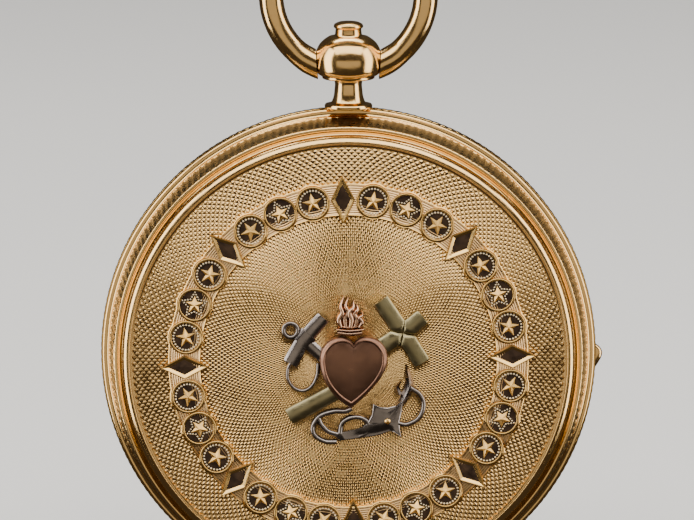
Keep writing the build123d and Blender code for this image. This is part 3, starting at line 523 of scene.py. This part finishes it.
def bezel_profile():
    """The ring round the crystal, with the mirror image of the back's edge."""
    wall = [(wall_r(y), y) for y in (2.46, 2.7, 3.0, 3.28)]
    outer = bowed([
        (19.79, 3.36), (19.74, 3.47), (19.52, 3.53, -0.03), (19.45, 3.5), (19.14, 3.28, 0.03),
        (19.07, 3.32), (19.05, 3.9), (19.0, 4.06, -0.01), (18.5, 4.42, -0.05),
        (17.75, 4.3)], 0.06)
    return ([(18.4, 2.45), (19.9, 2.45)] + wall + outer
            + [(17.75, 4.06), (17.95, 4.06), (17.95, 3.3), (17.4, 3.3), (17.4, 3.0), (18.4, 3.0)])


def band_edge(angle, outer):
    """The radius of the band's edge at a clockwise angle: it bulges round each medallion."""
    best = BAND_OUTER if outer else BAND_INNER
    for part in range(DECOR_PARTS):
        for step in MEDALLION_STEPS:
            centre = DECOR_TURN + 45 * part + step
            away = radians((angle - centre + 180) % 360 - 180)
            side = DECOR_R * sin(away)
            if abs(away) < 0.2 and abs(side) < BAND_BULGE:
                reach = DECOR_R * cos(away)
                bulge = (BAND_BULGE ** 2 - side ** 2) ** 0.5
                best = max(best, reach + bulge) if outer else min(best, reach - bulge)
    return best


def medallion_band():
    """The band under the medallions, with fine lines round it, and its two raised edges."""
    columns, lines = 1080, 14
    turns = np.arange(columns) * 360 / columns
    inner = np.array([band_edge(a, False) for a in turns])
    outer = np.array([band_edge(a, True) for a in turns])
    sine, cosine = np.sin(np.radians(turns)), np.cos(np.radians(turns))
    points = []
    for n in range(2 * lines + 1):
        r = inner + (outer - inner) * n / (2 * lines)
        y = dome(r) - (0.05 if n % 2 else 0.0)
        points.append(np.stack([r * sine, y, r * cosine], -1))
    for r in (outer, inner):
        points.append(np.stack([r * sine, dome(r) + 0.14, r * cosine], -1))
    piece("medallion_band", np.concatenate(points),
          grid_faces(len(points), columns, True, True), BAND_GOLD, "back", "case_gold", smooth=0)
    edges = Pile()
    section = [(-0.06, -0.1), (-0.05, 0.05), (0, 0.08), (0.05, 0.05), (0.06, -0.1)]
    for line in (inner, outer):
        rows = [np.stack([(line + out) * sine, dome(line + out) - up, (line + out) * cosine], -1)
                for out, up in section]
        edges.add(np.concatenate(rows), grid_faces(len(section), columns, True, True))
    edges.piece("band_edges", RIM_GOLD, "back", "case_gold")


class Seat:
    """A place on the dome with its own outward and sideways directions."""

    def __init__(self, angle, r=DECOR_R):
        turn = radians(angle)
        self.outward = np.array([sin(turn), 0, cos(turn)])
        self.sideways = np.array([cos(turn), 0, -sin(turn)])
        self.centre = r * self.outward
        self.centre[1] = float(dome(r))

    def at(self, out, side, height):
        out, side, height = np.broadcast_arrays(out, side, height)
        lift = np.array([0, -1.0, 0])
        return (self.centre + out[..., None] * self.outward
                + side[..., None] * self.sideways + height[..., None] * lift)


def round_boss(seat, profile, columns, out=0.0, side=0.0):
    """A small turned shape on the back, from radius and height."""
    turn = np.arange(columns) * 2 * pi / columns
    rows = [seat.at(out + r * np.cos(turn), side + r * np.sin(turn), h) for r, h in profile]
    return np.concatenate(rows), grid_faces(len(profile), columns)


def star_corners(tip, waist):
    """The ten corners of a five-pointed star that points outwards."""
    reach = [waist if n % 2 else tip for n in range(10)]
    return np.array([(r * cos(n * pi / 5), r * sin(n * pi / 5)) for n, r in enumerate(reach)])


def faceted_star(seat, tip, waist, low_h, high_h):
    """A star whose facets rise from its outline to its middle."""
    corners = star_corners(tip, waist)
    outline = seat.at(corners[:, 0], corners[:, 1], low_h)
    apex = seat.at(np.array([0.0]), np.array([0.0]), high_h)
    faces = [[n, (n + 1) % 10, 10] for n in range(10)]
    return np.concatenate([outline, apex]), faces


def bead(pile, seat, out, side, radius, foot):
    """A tiny round bead."""
    profile = [(radius, foot), (radius * 0.85, foot + radius * 0.6),
               (radius * 0.45, foot + radius * 0.95), (0.001, foot + radius)]
    pile.add(*round_boss(seat, profile, 8, out, side))


def medallions():
    """Rims, dark discs, beads and stars: the middle one of each three has a beaded star."""
    rims, discs, beads, stars = Pile(), Pile(), Pile(), Pile()
    rim = [(1.46, -0.1), (1.46, 0.08), (1.43, 0.17), (1.36, 0.22), (1.28, 0.22), (1.22, 0.17),
           (1.19, 0.02)]
    for part in range(DECOR_PARTS):
        for place_in_three, step in enumerate(MEDALLION_STEPS):
            seat = Seat(DECOR_TURN + 45 * part + step)
            rims.add(*round_boss(seat, rim, 48))
            discs.add(*round_boss(seat, [(1.22, 0.06), (0.6, 0.08), (0.001, 0.08)], 32))
            if place_in_three == 1:
                stars.add(*faceted_star(seat, 0.76, 0.36, 0.09, 0.34))
                corners = star_corners(1.08, 0.58)
                for n in range(10):
                    for t in (0, 1 / 3, 2 / 3):
                        out, side = corners[n] * (1 - t) + corners[(n + 1) % 10] * t
                        bead(beads, seat, out, side, 0.085, 0.08)
            else:
                stars.add(*faceted_star(seat, 0.88, 0.36, 0.09, 0.38))
                for n in range(26):
                    turn = 2 * pi * n / 26
                    bead(beads, seat, 1.06 * cos(turn), 1.06 * sin(turn), 0.1, 0.08)
    for name, pile, material, slot, node, smooth in (
            ("medallion_bezels", rims, RIM_GOLD, "case_gold", ("medallion_rims",), 40),
            ("enamel_grounds", discs, DARK, "dark_enamel", ("enamel_discs",), 40),
            ("medallion_beads", beads, BEAD_GOLD, "case_gold", (), 60),
            ("medallion_stars", stars, STAR_GOLD, "case_gold", (), 0)):
        pile.piece(name, material, "back", slot, node, smooth)


def lozenge_set():
    """Eight lozenges: a stepped gold frame round a sunk diamond with four dark facets."""
    frames, stones = Pile(), Pile()
    loops = [(2.05, 1.02, -0.1), (2.05, 1.02, 0.14), (1.98, 0.985, 0.22), (1.84, 0.915, 0.22),
             (1.3, 0.645, 0.08)]
    for part in range(DECOR_PARTS):
        seat = Seat(DECOR_TURN + 45 * part)
        rows = [seat.at(np.array([a, 0, -a, 0]), np.array([0, b, 0, -b]), h) for a, b, h in loops]
        frames.add(np.concatenate(rows), grid_faces(len(loops), 4))
        a, b, h = loops[-1]
        outline = seat.at(np.array([a, 0, -a, 0]), np.array([0, b, 0, -b]), h)
        apex = seat.at(np.array([0.0]), np.array([0.0]), 0.16)
        stones.add(np.concatenate([outline, apex]), [[n, (n + 1) % 4, 4] for n in range(4)])
    frames.piece("lozenge_frames", RIM_GOLD, "back", "case_gold", ("lozenges",), 0)
    stones.piece("lozenge_stones", DARK, "back", "dark_enamel", (), 0)


# --- The emblem -----------------------------------------------------------------------------


def ridge(pile, line, widths, foot, top, section, steps=6):
    """A raised bar along a line on the back. section lists sideways share and height share."""
    line = spline([(*p, w) for p, w in zip(line, widths)], steps)
    flow = np.gradient(line[:, :2], axis=0)
    flow /= np.linalg.norm(flow, axis=1)[:, None]
    rows = []
    for (x, z, width), (fx, fz) in zip(line, flow):
        base = float(dome(np.hypot(x, z)))
        thin = min(1.0, width / max(widths) + 0.25)
        row = []
        for share, rise in section:
            row.append((x + fz * width * share, base - foot - (top - foot) * rise * thin,
                        z - fx * width * share))
        rows.append(row)
    count = len(section)
    faces = grid_faces(len(rows), count, False)
    last = (len(rows) - 1) * count
    faces += [list(range(count)), list(range(last, last + count))[::-1]]
    pile.add(np.array(rows), faces)


ROUND = [(cos(pi * n / 12), sin(pi * n / 12)) for n in range(13)]
BEVEL = [(1, 0), (1, 0.45), (0.62, 0.86), (0.5, 0.93), (0, 1), (-0.5, 0.93), (-0.62, 0.86),
         (-1, 0.45), (-1, 0)]
VAULT = [(1, 0), (1, 0.2), (0.92, 0.5), (0.8, 0.66), (0.62, 0.8), (0.4, 0.92), (0.2, 0.98), (0, 1),
         (-0.2, 0.98), (-0.4, 0.92), (-0.62, 0.8), (-0.8, 0.66), (-0.92, 0.5), (-1, 0.2), (-1, 0)]
LEAF = [(1, 0), (0.75, 0.35), (0.3, 0.75), (0, 1), (-0.3, 0.75), (-0.75, 0.35), (-1, 0)]


def emblem_piece(name, pile, material, slot, node, smooth=50):
    """One applied piece of the emblem."""
    pile.piece(name, material, "back", slot, (node,), smooth, weld=True)


def pad(pile, outline, centre, steps):
    """A pillow-like piece: rings that shrink towards a centre, from share and height."""
    outline, centre = np.asarray(outline, float), np.asarray(centre, float)
    rows = []
    for share, height in steps:
        flat = centre + (outline - centre) * share
        rows.append([on_dome(x, z, height) for x, z in flat])
    pile.add(np.array(rows), grid_faces(len(rows), len(outline)))


def heart():
    """The heart: an upright wall, a sloping border, a thin bright line and a satin pillow."""
    right = [(0.45, 1.72), (0.86, 2.12), (1.6, 2.3), (2.5, 2.02), (3.14, 1.25), (3.3, 0.35),
             (3.06, -0.6), (2.5, -1.56), (1.75, -2.45), (0.95, -3.22), (0.2, -3.82)]
    left = [(0.2, -3.82), (-0.58, -3.3), (-1.3, -2.6), (-1.86, -1.8), (-2.24, -0.9),
            (-2.42, 0.2), (-2.25, 1.15), (-1.6, 1.97), (-0.74, 2.26), (0.0, 2.1), (0.45, 1.72)]
    outline = np.vstack([spline(right, 8)[:-1], spline(left, 8)[:-1]])
    pile = Pile()
    pad(pile, outline, (0.45, -0.2), [
        (1.0, -0.05), (1.0, 0.44), (0.99, 0.54), (0.965, 0.64), (0.93, 0.71), (0.9, 0.76),
        (0.885, 0.81), (0.868, 0.82), (0.85, 0.795), (0.836, 0.74), (0.8, 0.76), (0.7, 0.81),
        (0.52, 0.87), (0.34, 0.905), (0.16, 0.92), (0.0, 0.925)])
    emblem_piece("heart_sculpted", pile, ROSE, "rose_gold", "emblem_heart", 30)


def flame():
    """The flame: five pointed tongues over a small bowl with a rim."""
    pile = Pile()
    tongues = [
        ([(-0.62, 3.1), (-0.8, 3.7), (-0.52, 4.3), (-0.66, 4.9), (-0.36, 5.72)], 0.25),
        ([(-0.22, 3.1), (-0.28, 3.8), (-0.02, 4.3), (-0.24, 4.9), (0.0, 5.6)], 0.25),
        ([(0.16, 3.1), (0.26, 3.7), (0.1, 4.3), (0.42, 4.8), (0.42, 5.35)], 0.26),
        ([(0.55, 3.1), (0.7, 3.7), (0.5, 4.2), (0.78, 4.6), (0.68, 5.05)], 0.24),
        ([(0.9, 3.1), (1.15, 3.5), (0.93, 3.9), (1.17, 4.15), (1.04, 4.55)], 0.2)]
    for n, (line, width) in enumerate(tongues):
        widths = [width, width * 1.3, width * 1.2, width * 0.8, 0.03]
        ridge(pile, line, widths, 0.0, 0.68 - 0.08 * (n % 2), ROUND, 8)
    ridge(pile, [(-0.85, 3.2), (0.1, 3.05), (1.05, 3.2)], [0.12, 0.16, 0.12], 0.0, 0.45, ROUND)
    ridge(pile, [(-1.02, 2.92), (0.12, 2.82), (1.28, 2.92)], [0.13] * 3, 0.0, 0.68, ROUND)
    ridge(pile, [(-0.92, 2.6), (0.12, 2.5), (1.15, 2.6)], [0.24] * 3, 0.0, 0.56, ROUND)
    emblem_piece("flame_sculpted", pile, FLAME, "rose_gold", "emblem_flame", 40)


def cross():
    """The cross: half-round arms, mitred where they meet, over the heart's shoulder."""
    pile = Pile()
    junction = np.array((4.57, 2.52))
    for end in ((2.72, 5.26), (6.25, 3.94), (6.17, 0.04), (2.2, 1.0)):
        along = np.array(end) - junction
        reach = np.hypot(*along)
        along /= reach
        line = [junction + along * t for t in (0.06, 0.72, 1.2, reach - 0.12, reach)]
        ridge(pile, line, [0.06, 0.74, 0.76, 0.76, 0.66], 0.0, 0.45, VAULT, 3)
    ridge(pile, [(-0.6, -2.2), (-2.5, -3.26), (-4.75, -4.5), (-4.93, -4.61)],
          [0.72, 0.74, 0.76, 0.66], 0.0, 0.46, VAULT, 3)
    emblem_piece("cross_sculpted", pile, GREEN, "green_gold", "emblem_cross", 40)


def anchor():
    """The anchor: ring, stock with its block, shank, and a crown with curved arms."""
    pile = Pile()
    turns = np.linspace(0, 2 * pi, 17)
    ring = [(-4.85 + 0.6 * cos(t), 2.79 + 0.6 * sin(t)) for t in turns]
    ridge(pile, ring, [0.24] * len(ring), 0.05, 0.46, ROUND, 2)
    ridge(pile, [(-2.12, 3.86), (-2.2, 3.76), (-3.4, 2.38)], [0.5, 0.6, 0.62], 0.0, 0.44, BEVEL, 2)
    ridge(pile, [(-3.9, 1.8), (-4.8, 0.12), (-4.87, 0.0)], [0.6, 0.64, 0.55], 0.0, 0.44, BEVEL, 2)
    ridge(pile, [(-3.3, 2.48), (-4.02, 1.66)], [0.8, 0.8], 0.0, 0.56, BEVEL, 2)
    ridge(pile, [(-3.5, 1.75), (-1.7, 0.1)], [0.5, 0.5], 0.0, 0.4, BEVEL, 2)
    crown = [(2.06, -3.43), (2.7, -3.72), (3.3, -3.78), (4.0, -3.6), (4.93, -2.64), (4.62, -3.4),
             (4.5, -4.1), (4.3, -5.0), (4.36, -5.7), (4.5, -6.38), (3.9, -5.95), (3.5, -5.85),
             (2.8, -6.12), (2.06, -6.3), (0.66, -6.5), (-0.74, -6.68), (-1.21, -6.1),
             (0.19, -5.85), (1.1, -5.5), (1.59, -5.08), (1.95, -4.4)]
    pad(pile, crown, (3.14, -4.93), [
        (1.0, -0.05), (1.0, 0.28), (0.97, 0.38), (0.92, 0.42), (0.87, 0.4), (0.6, 0.46),
        (0.3, 0.52), (0.0, 0.54)])
    ridge(pile, [(4.1, -3.9), (4.75, -2.9), (5.12, -1.9), (5.0, -0.85), (4.8, -0.1)],
          [0.32, 0.4, 0.38, 0.26, 0.06], 0.0, 0.46, LEAF, 8)
    ridge(pile, [(4.6, -3.0), (5.2, -2.35), (5.75, -2.2)], [0.3, 0.28, 0.06], 0.0, 0.42, LEAF, 6)
    ridge(pile, [(4.3, -2.75), (4.1, -2.1), (4.5, -1.4)], [0.24, 0.2, 0.05], 0.0, 0.38, LEAF, 6)
    emblem_piece("anchor_sculpted", pile, WHITE, "white_gold", "emblem_anchor", 35)


def rope():
    """The rope that winds round the anchor."""
    pile = Pile()
    loops = [
        [(-4.75, 0.15), (-5.08, -0.5), (-5.1, -1.3), (-4.65, -2.05), (-3.85, -2.36),
         (-3.1, -1.98), (-2.66, -1.1), (-2.55, 0.0)],
        [(0.3, -3.9), (-0.3, -4.12), (-1.21, -4.14), (-2.37, -4.53), (-2.99, -5.4),
         (-2.84, -6.2), (-1.98, -6.72), (-1.0, -6.76)],
        [(-0.7, -6.0), (-0.55, -5.2), (0.1, -4.72), (0.97, -4.66), (1.62, -5.1), (1.6, -5.9),
         (0.9, -6.3)],
        [(-2.55, -4.6), (-2.25, -5.3), (-1.67, -5.85), (-0.9, -6.1)],
        [(5.2, -2.1), (6.0, -2.7), (6.33, -3.6), (5.95, -4.7), (4.95, -5.26), (4.2, -5.16)]]
    for n, line in enumerate(loops):
        ridge(pile, line, [0.2 if n == 0 else 0.25] * len(line), 0.03, 0.46, ROUND, 6)
    emblem_piece("rope_sculpted", pile, WHITE, "white_gold", "emblem_rope", 50)


def stud():
    """The small gold stud on the anchor's crown."""
    pile = Pile()
    profile = [(0.26, 0.4), (0.24, 0.58), (0.14, 0.68), (0.001, 0.7)]
    pile.add(*round_boss(Seat(0, 0), profile, 16, -4.93, 3.3))
    pile.piece("crown_stud", RIM_GOLD, "back", "case_gold")


# --- Case, covers, pendant and bow ----------------------------------------------------------


def gold_ring(name, profile, body, node, columns=REEDS * 6):
    """A ring or cover turned about the watch's axis with reeded outside."""
    points, faces = turned(profile, columns, reeded, profile[0][0] > 0)
    return piece(name, points, faces, GOLD, body, "case_gold", (node,), 32, weld=True)


def case_outside():
    """The smooth outside of the closed case, to trim the hinge knuckles with."""
    profile = [(0, -4.6), (18.6, -4.3), (19.05, -3.8), (19.76, -3.3), (20.22, -1.0), (20.7, -0.6),
               (20.7, 0.6), (20.22, 1.0), (19.76, 3.3), (19.05, 3.8), (18.6, 4.3), (0, 4.3)]
    return loose("outside", *turned(profile, 360, closed=False))


def paint_wall_shade(item):
    """Paints shade on the sunk reeded wall: its faces get a much darker copy of the gold."""
    coat(item, GOLD, SHADED_WALL_GOLD, smooth=32)
    faces = item.data.polygons
    middles = np.array([face.center[:] for face in faces]) / MM + (0, 0, HANG)
    r, y = np.hypot(middles[:, 0], middles[:, 2]), np.abs(middles[:, 1])
    # Faces of the sunk reeded wall, which get the painted shade.
    sunk = (r > SUNK_FROM_R) & (r < SUNK_TO_R) & (y > SUNK_FROM_Y) & (y < EDGE_Y)
    faces.foreach_set("material_index", sunk.astype(int).tolist())


def case_and_covers():
    """The case's middle, the back cover's body and the bezel, with their hinges."""
    middle = gold_ring("case_body", case_profile(), "case", "case_middle")
    back = gold_ring("back_body", back_profile(), "back", "back_cover")
    bezel = gold_ring("bezel_ring", bezel_profile(), "bezel", "bezel")
    cut_hinge(middle, back, BACK_SEAT)
    cut_hinge(middle, bezel, FRONT_SEAT)
    for angle in POCKET_ANGLES:
        x, z = POCKET_CIRCLE * cos(radians(angle)), POCKET_CIRCLE * sin(radians(angle))
        combine(middle, [disc_mesh("pocket", x, z, POCKET_R, -0.45, 0.05)], "DIFFERENCE")
    cuvette_pin_room = rod_mesh("room", -17.7, -3.2, 0.35, -2.5, 2.5)
    combine(middle, [cuvette_pin_room], "DIFFERENCE")
    outside = case_outside()
    hinge_knuckles("back_hinge_case", BACK_SEAT, 0, "case", outside)
    hinge_knuckles("back_hinge_cover", BACK_SEAT, 1, "back", outside)
    hinge_knuckles("bezel_hinge_case", FRONT_SEAT, 0, "case", outside)
    hinge_knuckles("bezel_hinge_cover", FRONT_SEAT, 1, "bezel", outside)
    bpy.data.objects.remove(outside)
    # The sunk reeded walls get painted shade: a darker copy of the gold.
    for item in (middle, back, bezel):
        paint_wall_shade(item)


def thumb_lip():
    """The lip for the thumbnail: steep above, swelling, and tapering off below."""
    stations = [(1.3, 20.2, 0.05), (0.9, 20.7, 0.25), (0.2, 21.1, 0.42), (-0.9, 21.38, 0.5),
                (-2.3, 21.42, 0.5), (-4.0, 21.2, 0.44), (-6.5, 20.8, 0.34), (-9.5, 20.4, 0.2),
                (-12.0, 20.0, 0.05)]
    line = spline([(r * cos(radians(a)), 2.85, r * sin(radians(a)), s) for a, r, s in stations], 5)
    points = []
    for x, y, z, swell in line:
        out = np.array([x, 0, z]) / np.hypot(x, z)
        centre = np.array([x, y, z]) - out * 0.25
        for n in range(12):
            turn = 2 * pi * n / 12
            points.append(centre + out * swell * cos(turn) + np.array([0, 0.3 * sin(turn), 0]))
    count = len(line)
    faces = grid_faces(count, 12) + [list(range(12))[::-1],
                                     list(range(12 * (count - 1), 12 * count))]
    piece("thumb_lip", points, faces, GOLD, "bezel", "case_gold", ("thumb_piece",), 50, weld=True)


def pendant():
    """The foot, collar, waisted neck and ball, and the low button on top."""
    profile = bowed([
        (0, 19.6), (0.6, 19.6), (0.6, 20.74), (1.9, 20.82), (1.95, 21.24, -0.09), (1.7, 21.3),
        (1.42, 21.42, 0.03), (1.2, 22.2, 0.04), (1.14, 22.8), (1.2, 23.2, 0.02),
        (1.34, 23.34, 0.02), (2.1, 23.38), (2.2, 23.58, -0.06), (2.18, 23.64), (2.36, 23.66),
        (2.75, 24.14, -0.07),
        (2.85, 25.1, -0.03), (2.4, 26.35, -0.09), (1.6, 26.98, -0.05), (0, 27.05)], 0.08)
    points, faces = upright(profile, 128)
    piece("pendant_turned", points, faces, GOLD, "case", "case_gold", ("pendant",), 35, weld=True)
    profile = bowed([
        (0, 26.9), (1.3, 26.9), (1.12, 27.25, 0.05), (1.08, 27.6), (1.2, 27.7), (1.22, 27.9, -0.04),
        (1.1, 28.05, -0.03), (0.6, 28.22, -0.03), (0, 28.26)], 0.06)
    points, faces = upright(profile, 96)
    piece("pendant_button", points, faces, GOLD, "case", "case_gold", ("pendant_cap",), 35,
          weld=True)


def bow_ring():
    """The round bow, with thicker ends that close in on the ball, and its two pivots."""
    centre_z, radius, wire = 30.5, 6.5, 1.03
    reach = asin(2.2 / radius)
    step = radians(45)
    turns = np.linspace(reach, 2 * pi - reach, 241)
    line, radii = [], []
    for t in turns:
        past = min(1.0, max(0.0, (step - min(t, 2 * pi - t)) / radians(16)))
        radii.append(wire + 0.1 * past * past * (3 - 2 * past))
        line.append((radius * sin(t), 0, centre_z - radius * cos(t)))
    points, faces = tube(line, radii, 48)
    ring = piece("bow_round", points, faces, GOLD, "bow", "case_gold", ("bow",), 45, weld=True)
    turns = np.linspace(0, pi, 41)
    ball = [(max(BALL_ROOM * sin(t), 0), -BALL_ROOM * cos(t)) for t in turns]
    points, faces = upright(ball, 128)
    combine(ring, [loose("hollow", points + (0, 0, BALL_Z), faces)], "DIFFERENCE")
    coat(ring, GOLD, smooth=45)
    pile = Pile()
    for side in (1, -1):
        pin, faces = upright([(0, 2.4), (0.42, 2.4), (0.42, 3.6), (0, 3.6)], 24)
        pile.add(pin[:, [2, 1, 0]] * (side, 1, 1) + (0, 0, BALL_Z), faces)
    pile.piece("bow_pins", GOLD, "bow", "case_gold", (), 45, weld=True)


def crystal():
    """The domed glass."""
    profile = [(0, 4.6)] + [(r, 3.36 + 1.24 * (1 - (r / 17.0) ** 2)) for r in
                            (3, 6, 9, 12, 14.5, 16.2, 17.0)]
    profile += [(17.9, 3.34), (17.9, 4.0), (17.6, 4.04)]
    profile += [(r, 4.04 + 1.35 * (1 - (r / 17.6) ** 2)) for r in (16.5, 14.5, 12, 9, 6, 3, 0)]
    points, faces = turned(profile, 180, closed=False)
    piece("crystal_domed", points, faces, GLASS, "bezel", "crystal_glass", ("crystal",), 30,
          weld=True)


# --- Dial and hands -------------------------------------------------------------------------

BAR, HAIR = 0.42, 0.12


def on_dial(x, z, lift):
    """A point over the dial's slightly domed face."""
    rise = (DIAL_R - np.hypot(x, z)) / 15.55
    return np.array([x, DIAL_EDGE_Y + 0.15 * rise + 0.12 * rise * (1 - rise) + lift, z])


def dial_frame(degrees, r=0.0):
    """A function that maps a stroke's x and z to the dial, upright on a ray from a radius."""
    turn = radians(degrees)
    out = np.array([-sin(turn), 0, cos(turn)])
    side = np.array([-cos(turn), 0, -sin(turn)])

    def frame_at(x, z, lift):
        flat = out * (r + z) + side * x
        return on_dial(flat[0], flat[2], lift)

    return frame_at


def stroke(pile, start, end, width, frame_at):
    """A flat painted stroke between two points of a numeral."""
    (x0, z0), (x1, z1) = start, end
    length = max(np.hypot(x1 - x0, z1 - z0), 1e-6)
    nx, nz = -(z1 - z0) / length * width / 2, (x1 - x0) / length * width / 2
    corners = [(x0 + nx, z0 + nz), (x1 + nx, z1 + nz), (x1 - nx, z1 - nz), (x0 - nx, z0 - nz)]
    low_face = [frame_at(x, z, 0.0) for x, z in corners]
    high_face = [frame_at(x, z, 0.02) for x, z in corners]
    faces = [[0, 1, 2, 3], [4, 5, 6, 7]] + [[n, (n + 1) % 4, 4 + (n + 1) % 4, 4 + n]
                                            for n in range(4)]
    pile.add(np.array(low_face + high_face), faces)


def letter_strokes(letter, x, height):
    """The strokes of one Roman letter from x on, and its width."""
    top, low_z = height / 2, -height / 2
    if letter == "I":
        return [((x + 0.3, low_z), (x + 0.3, top), BAR),
                ((x, top), (x + 0.6, top), HAIR), ((x, low_z), (x + 0.6, low_z), HAIR)], 0.66
    if letter == "V":
        return [((x + 0.3, top), (x + 0.75, low_z), BAR), ((x + 1.2, top), (x + 0.8, low_z), HAIR),
                ((x, top), (x + 0.6, top), HAIR), ((x + 1.0, top), (x + 1.4, top), HAIR)], 1.46
    return [((x + 0.3, top), (x + 1.2, low_z), BAR), ((x + 1.2, top), (x + 0.3, low_z), HAIR),
            ((x, top), (x + 0.6, top), HAIR), ((x + 1.0, top), (x + 1.4, top), HAIR),
            ((x + 0.9, low_z), (x + 1.5, low_z), HAIR), ((x + 0.1, low_z), (x + 0.5, low_z), HAIR)
            ], 1.56


def dial_marks():
    """Roman hours and the minute track, painted on the dial."""
    pile = Pile()
    hours = ["XII", "I", "II", "III", "IIII", "V", "VI", "VII", "VIII", "IX", "X", "XI"]
    for n, text in enumerate(hours):
        frame_at = dial_frame(30 * n, NUMERAL_R)
        strokes, x = [], 0.0
        for letter in text:
            more, width = letter_strokes(letter, x, 3.1)
            strokes += more
            x += width
        for start, end, width in strokes:
            stroke(pile, (start[0] - x / 2, start[1]), (end[0] - x / 2, end[1]), width, frame_at)
    for n in range(60):
        stroke(pile, (0, 14.6), (0, 15.5), 0.22 if n % 5 == 0 else 0.09, dial_frame(6 * n))
    for r in (14.55, 15.55):
        face = on_dial(r, 0, 0)[1]
        points, faces = turned([(r - 0.04, face), (r + 0.04, face), (r + 0.04, face + 0.02),
                                (r - 0.04, face + 0.02)], 240)
        pile.add(points, faces)
    pile.piece("dial_painting", INK, "case", "dark_enamel", (), 0)


# --- Finishes of the parts that keep their CAD shape ----------------------------------------


def finish_cad_parts():
    """Gives every CAD node that still shows the material of its slot."""
    finishes = {"case_gold": GOLD, "rose_gold": ROSE, "green_gold": GREEN, "white_gold": WHITE,
                "gilt_brass": GILT, "polished_steel": STEEL, "blued_steel": BLUE, "ruby": RUBY,
                "enamel": ENAMEL, "crystal_glass": GLASS, "dark_enamel": DARK}
    for part in frame["record"]["subparts"]:
        node = frame["nodes"][part["node"]]
        node.data.materials.clear()
        node.data.materials.append(finishes[part["material_slot"]])


# --- Stage, light and camera ----------------------------------------------------------------


def stage():
    """A plain pale floor that the case just touches."""
    mesh = bpy.data.meshes.new("floor")
    corners = [(-3, -3), (3, -3), (3, 3), (-3, 3)]
    mesh.from_pydata([(x, y, FLOOR_Z) for x, y in corners], [], [[0, 1, 2, 3]])
    nodes = Nodes("pale_floor")
    patches = nodes.noise(6, 2)
    tone = nodes.mix(patches, "Fac", (0.62, 0.61, 0.59), (0.66, 0.65, 0.63))
    nodes.tree.links.new(tone.outputs[2], nodes.shader.inputs["Base Color"])
    nodes.shader.inputs["Roughness"].default_value = 0.9
    mesh.materials.append(nodes.material)
    floor = bpy.data.objects.new("floor", mesh)
    bpy.context.scene.collection.objects.link(floor)
    floor.visible_glossy = False


def world():
    """Pale to the camera and the floor, dim to reflections: the softboxes shape the metal."""
    studio = bpy.data.worlds.new("studio")
    bpy.context.scene.world = studio
    studio.use_nodes = True
    tree = studio.node_tree
    ray = tree.nodes.new("ShaderNodeLightPath")
    pale = tree.nodes["Background"]
    pale.inputs["Color"].default_value = (0.80, 0.80, 0.80, 1)
    pale.inputs["Strength"].default_value = 1.0
    dim = tree.nodes.new("ShaderNodeBackground")
    dim.inputs["Color"].default_value = (0.06, 0.05, 0.04, 1)
    dim.inputs["Strength"].default_value = 1.0
    either = tree.nodes.new("ShaderNodeMath")
    either.operation = "MAXIMUM"
    fill = tree.nodes.new("ShaderNodeMath")
    fill.operation = "MULTIPLY"
    fill.inputs[1].default_value = 0.6
    tree.links.new(ray.outputs["Is Diffuse Ray"], fill.inputs[0])
    tree.links.new(ray.outputs["Is Camera Ray"], either.inputs[0])
    tree.links.new(fill.outputs[0], either.inputs[1])
    mix = tree.nodes.new("ShaderNodeMixShader")
    tree.links.new(either.outputs[0], mix.inputs["Fac"])
    tree.links.new(dim.outputs[0], mix.inputs[1])
    tree.links.new(pale.outputs[0], mix.inputs[2])
    tree.links.new(mix.outputs[0], tree.nodes["World Output"].inputs["Surface"])


def softbox(name, where, size, power, colour=(1, 1, 1)):
    """A rectangular light that faces the watch's centre."""
    light = bpy.data.lights.new(name, "AREA")
    light.shape = "RECTANGLE"
    light.size, light.size_y = size
    light.energy = power
    light.color = colour
    item = bpy.data.objects.new(name, light)
    bpy.context.scene.collection.objects.link(item)
    item.location = where
    centre = Vector((0, 0, -HANG * MM))
    item.rotation_euler = (centre - Vector(where)).to_track_quat("-Z", "Y").to_euler()


def lights():
    """A broad light overhead, tall strips at both sides, a wide dim one in front, one behind."""
    softbox("key", (0.0, -0.32, 0.48), (1.10, 0.42), 5.6, (1.0, 0.97, 0.92))
    softbox("left", (-0.60, -0.16, 0.05), (0.34, 0.84), 4.5, (1.0, 0.98, 0.95))
    softbox("right", (0.60, -0.16, 0.05), (0.34, 0.84), 4.0, (1.0, 0.95, 0.88))
    softbox("low_front", (0.0, -0.62, -0.08), (1.10, 0.30), 0.65, (1.0, 0.90, 0.74))
    softbox("behind", (0.0, 0.20, 0.56), (0.60, 0.16), 2.5)


def camera():
    """A long lens from a little above the middle of the back."""
    height, away, view_width = 9.5, 0.45, 0.05877
    aim = Vector((-0.00012, 0, (7.88 - HANG) * MM))
    data = bpy.data.cameras.new("camera")
    data.sensor_width = 36
    data.lens = data.sensor_width * away / view_width
    data.clip_start = 0.01
    item = bpy.data.objects.new("camera", data)
    bpy.context.scene.collection.objects.link(item)
    tilt = radians(height)
    item.location = aim + Vector((0, -cos(tilt), sin(tilt))) * away
    item.rotation_euler = (aim - item.location).to_track_quat("-Z", "Y").to_euler()
    bpy.context.scene.camera = item


finish_cad_parts()
engine_turning("engine_turning_inner", 5, 52)
engine_turning("engine_turning_outer", 60, 74)
medallion_band()
medallions()
lozenge_set()
heart()
flame()
cross()
anchor()
rope()
stud()
case_and_covers()
thumb_lip()
pendant()
bow_ring()
crystal()
dial_marks()
stage()
world()
lights()
camera()
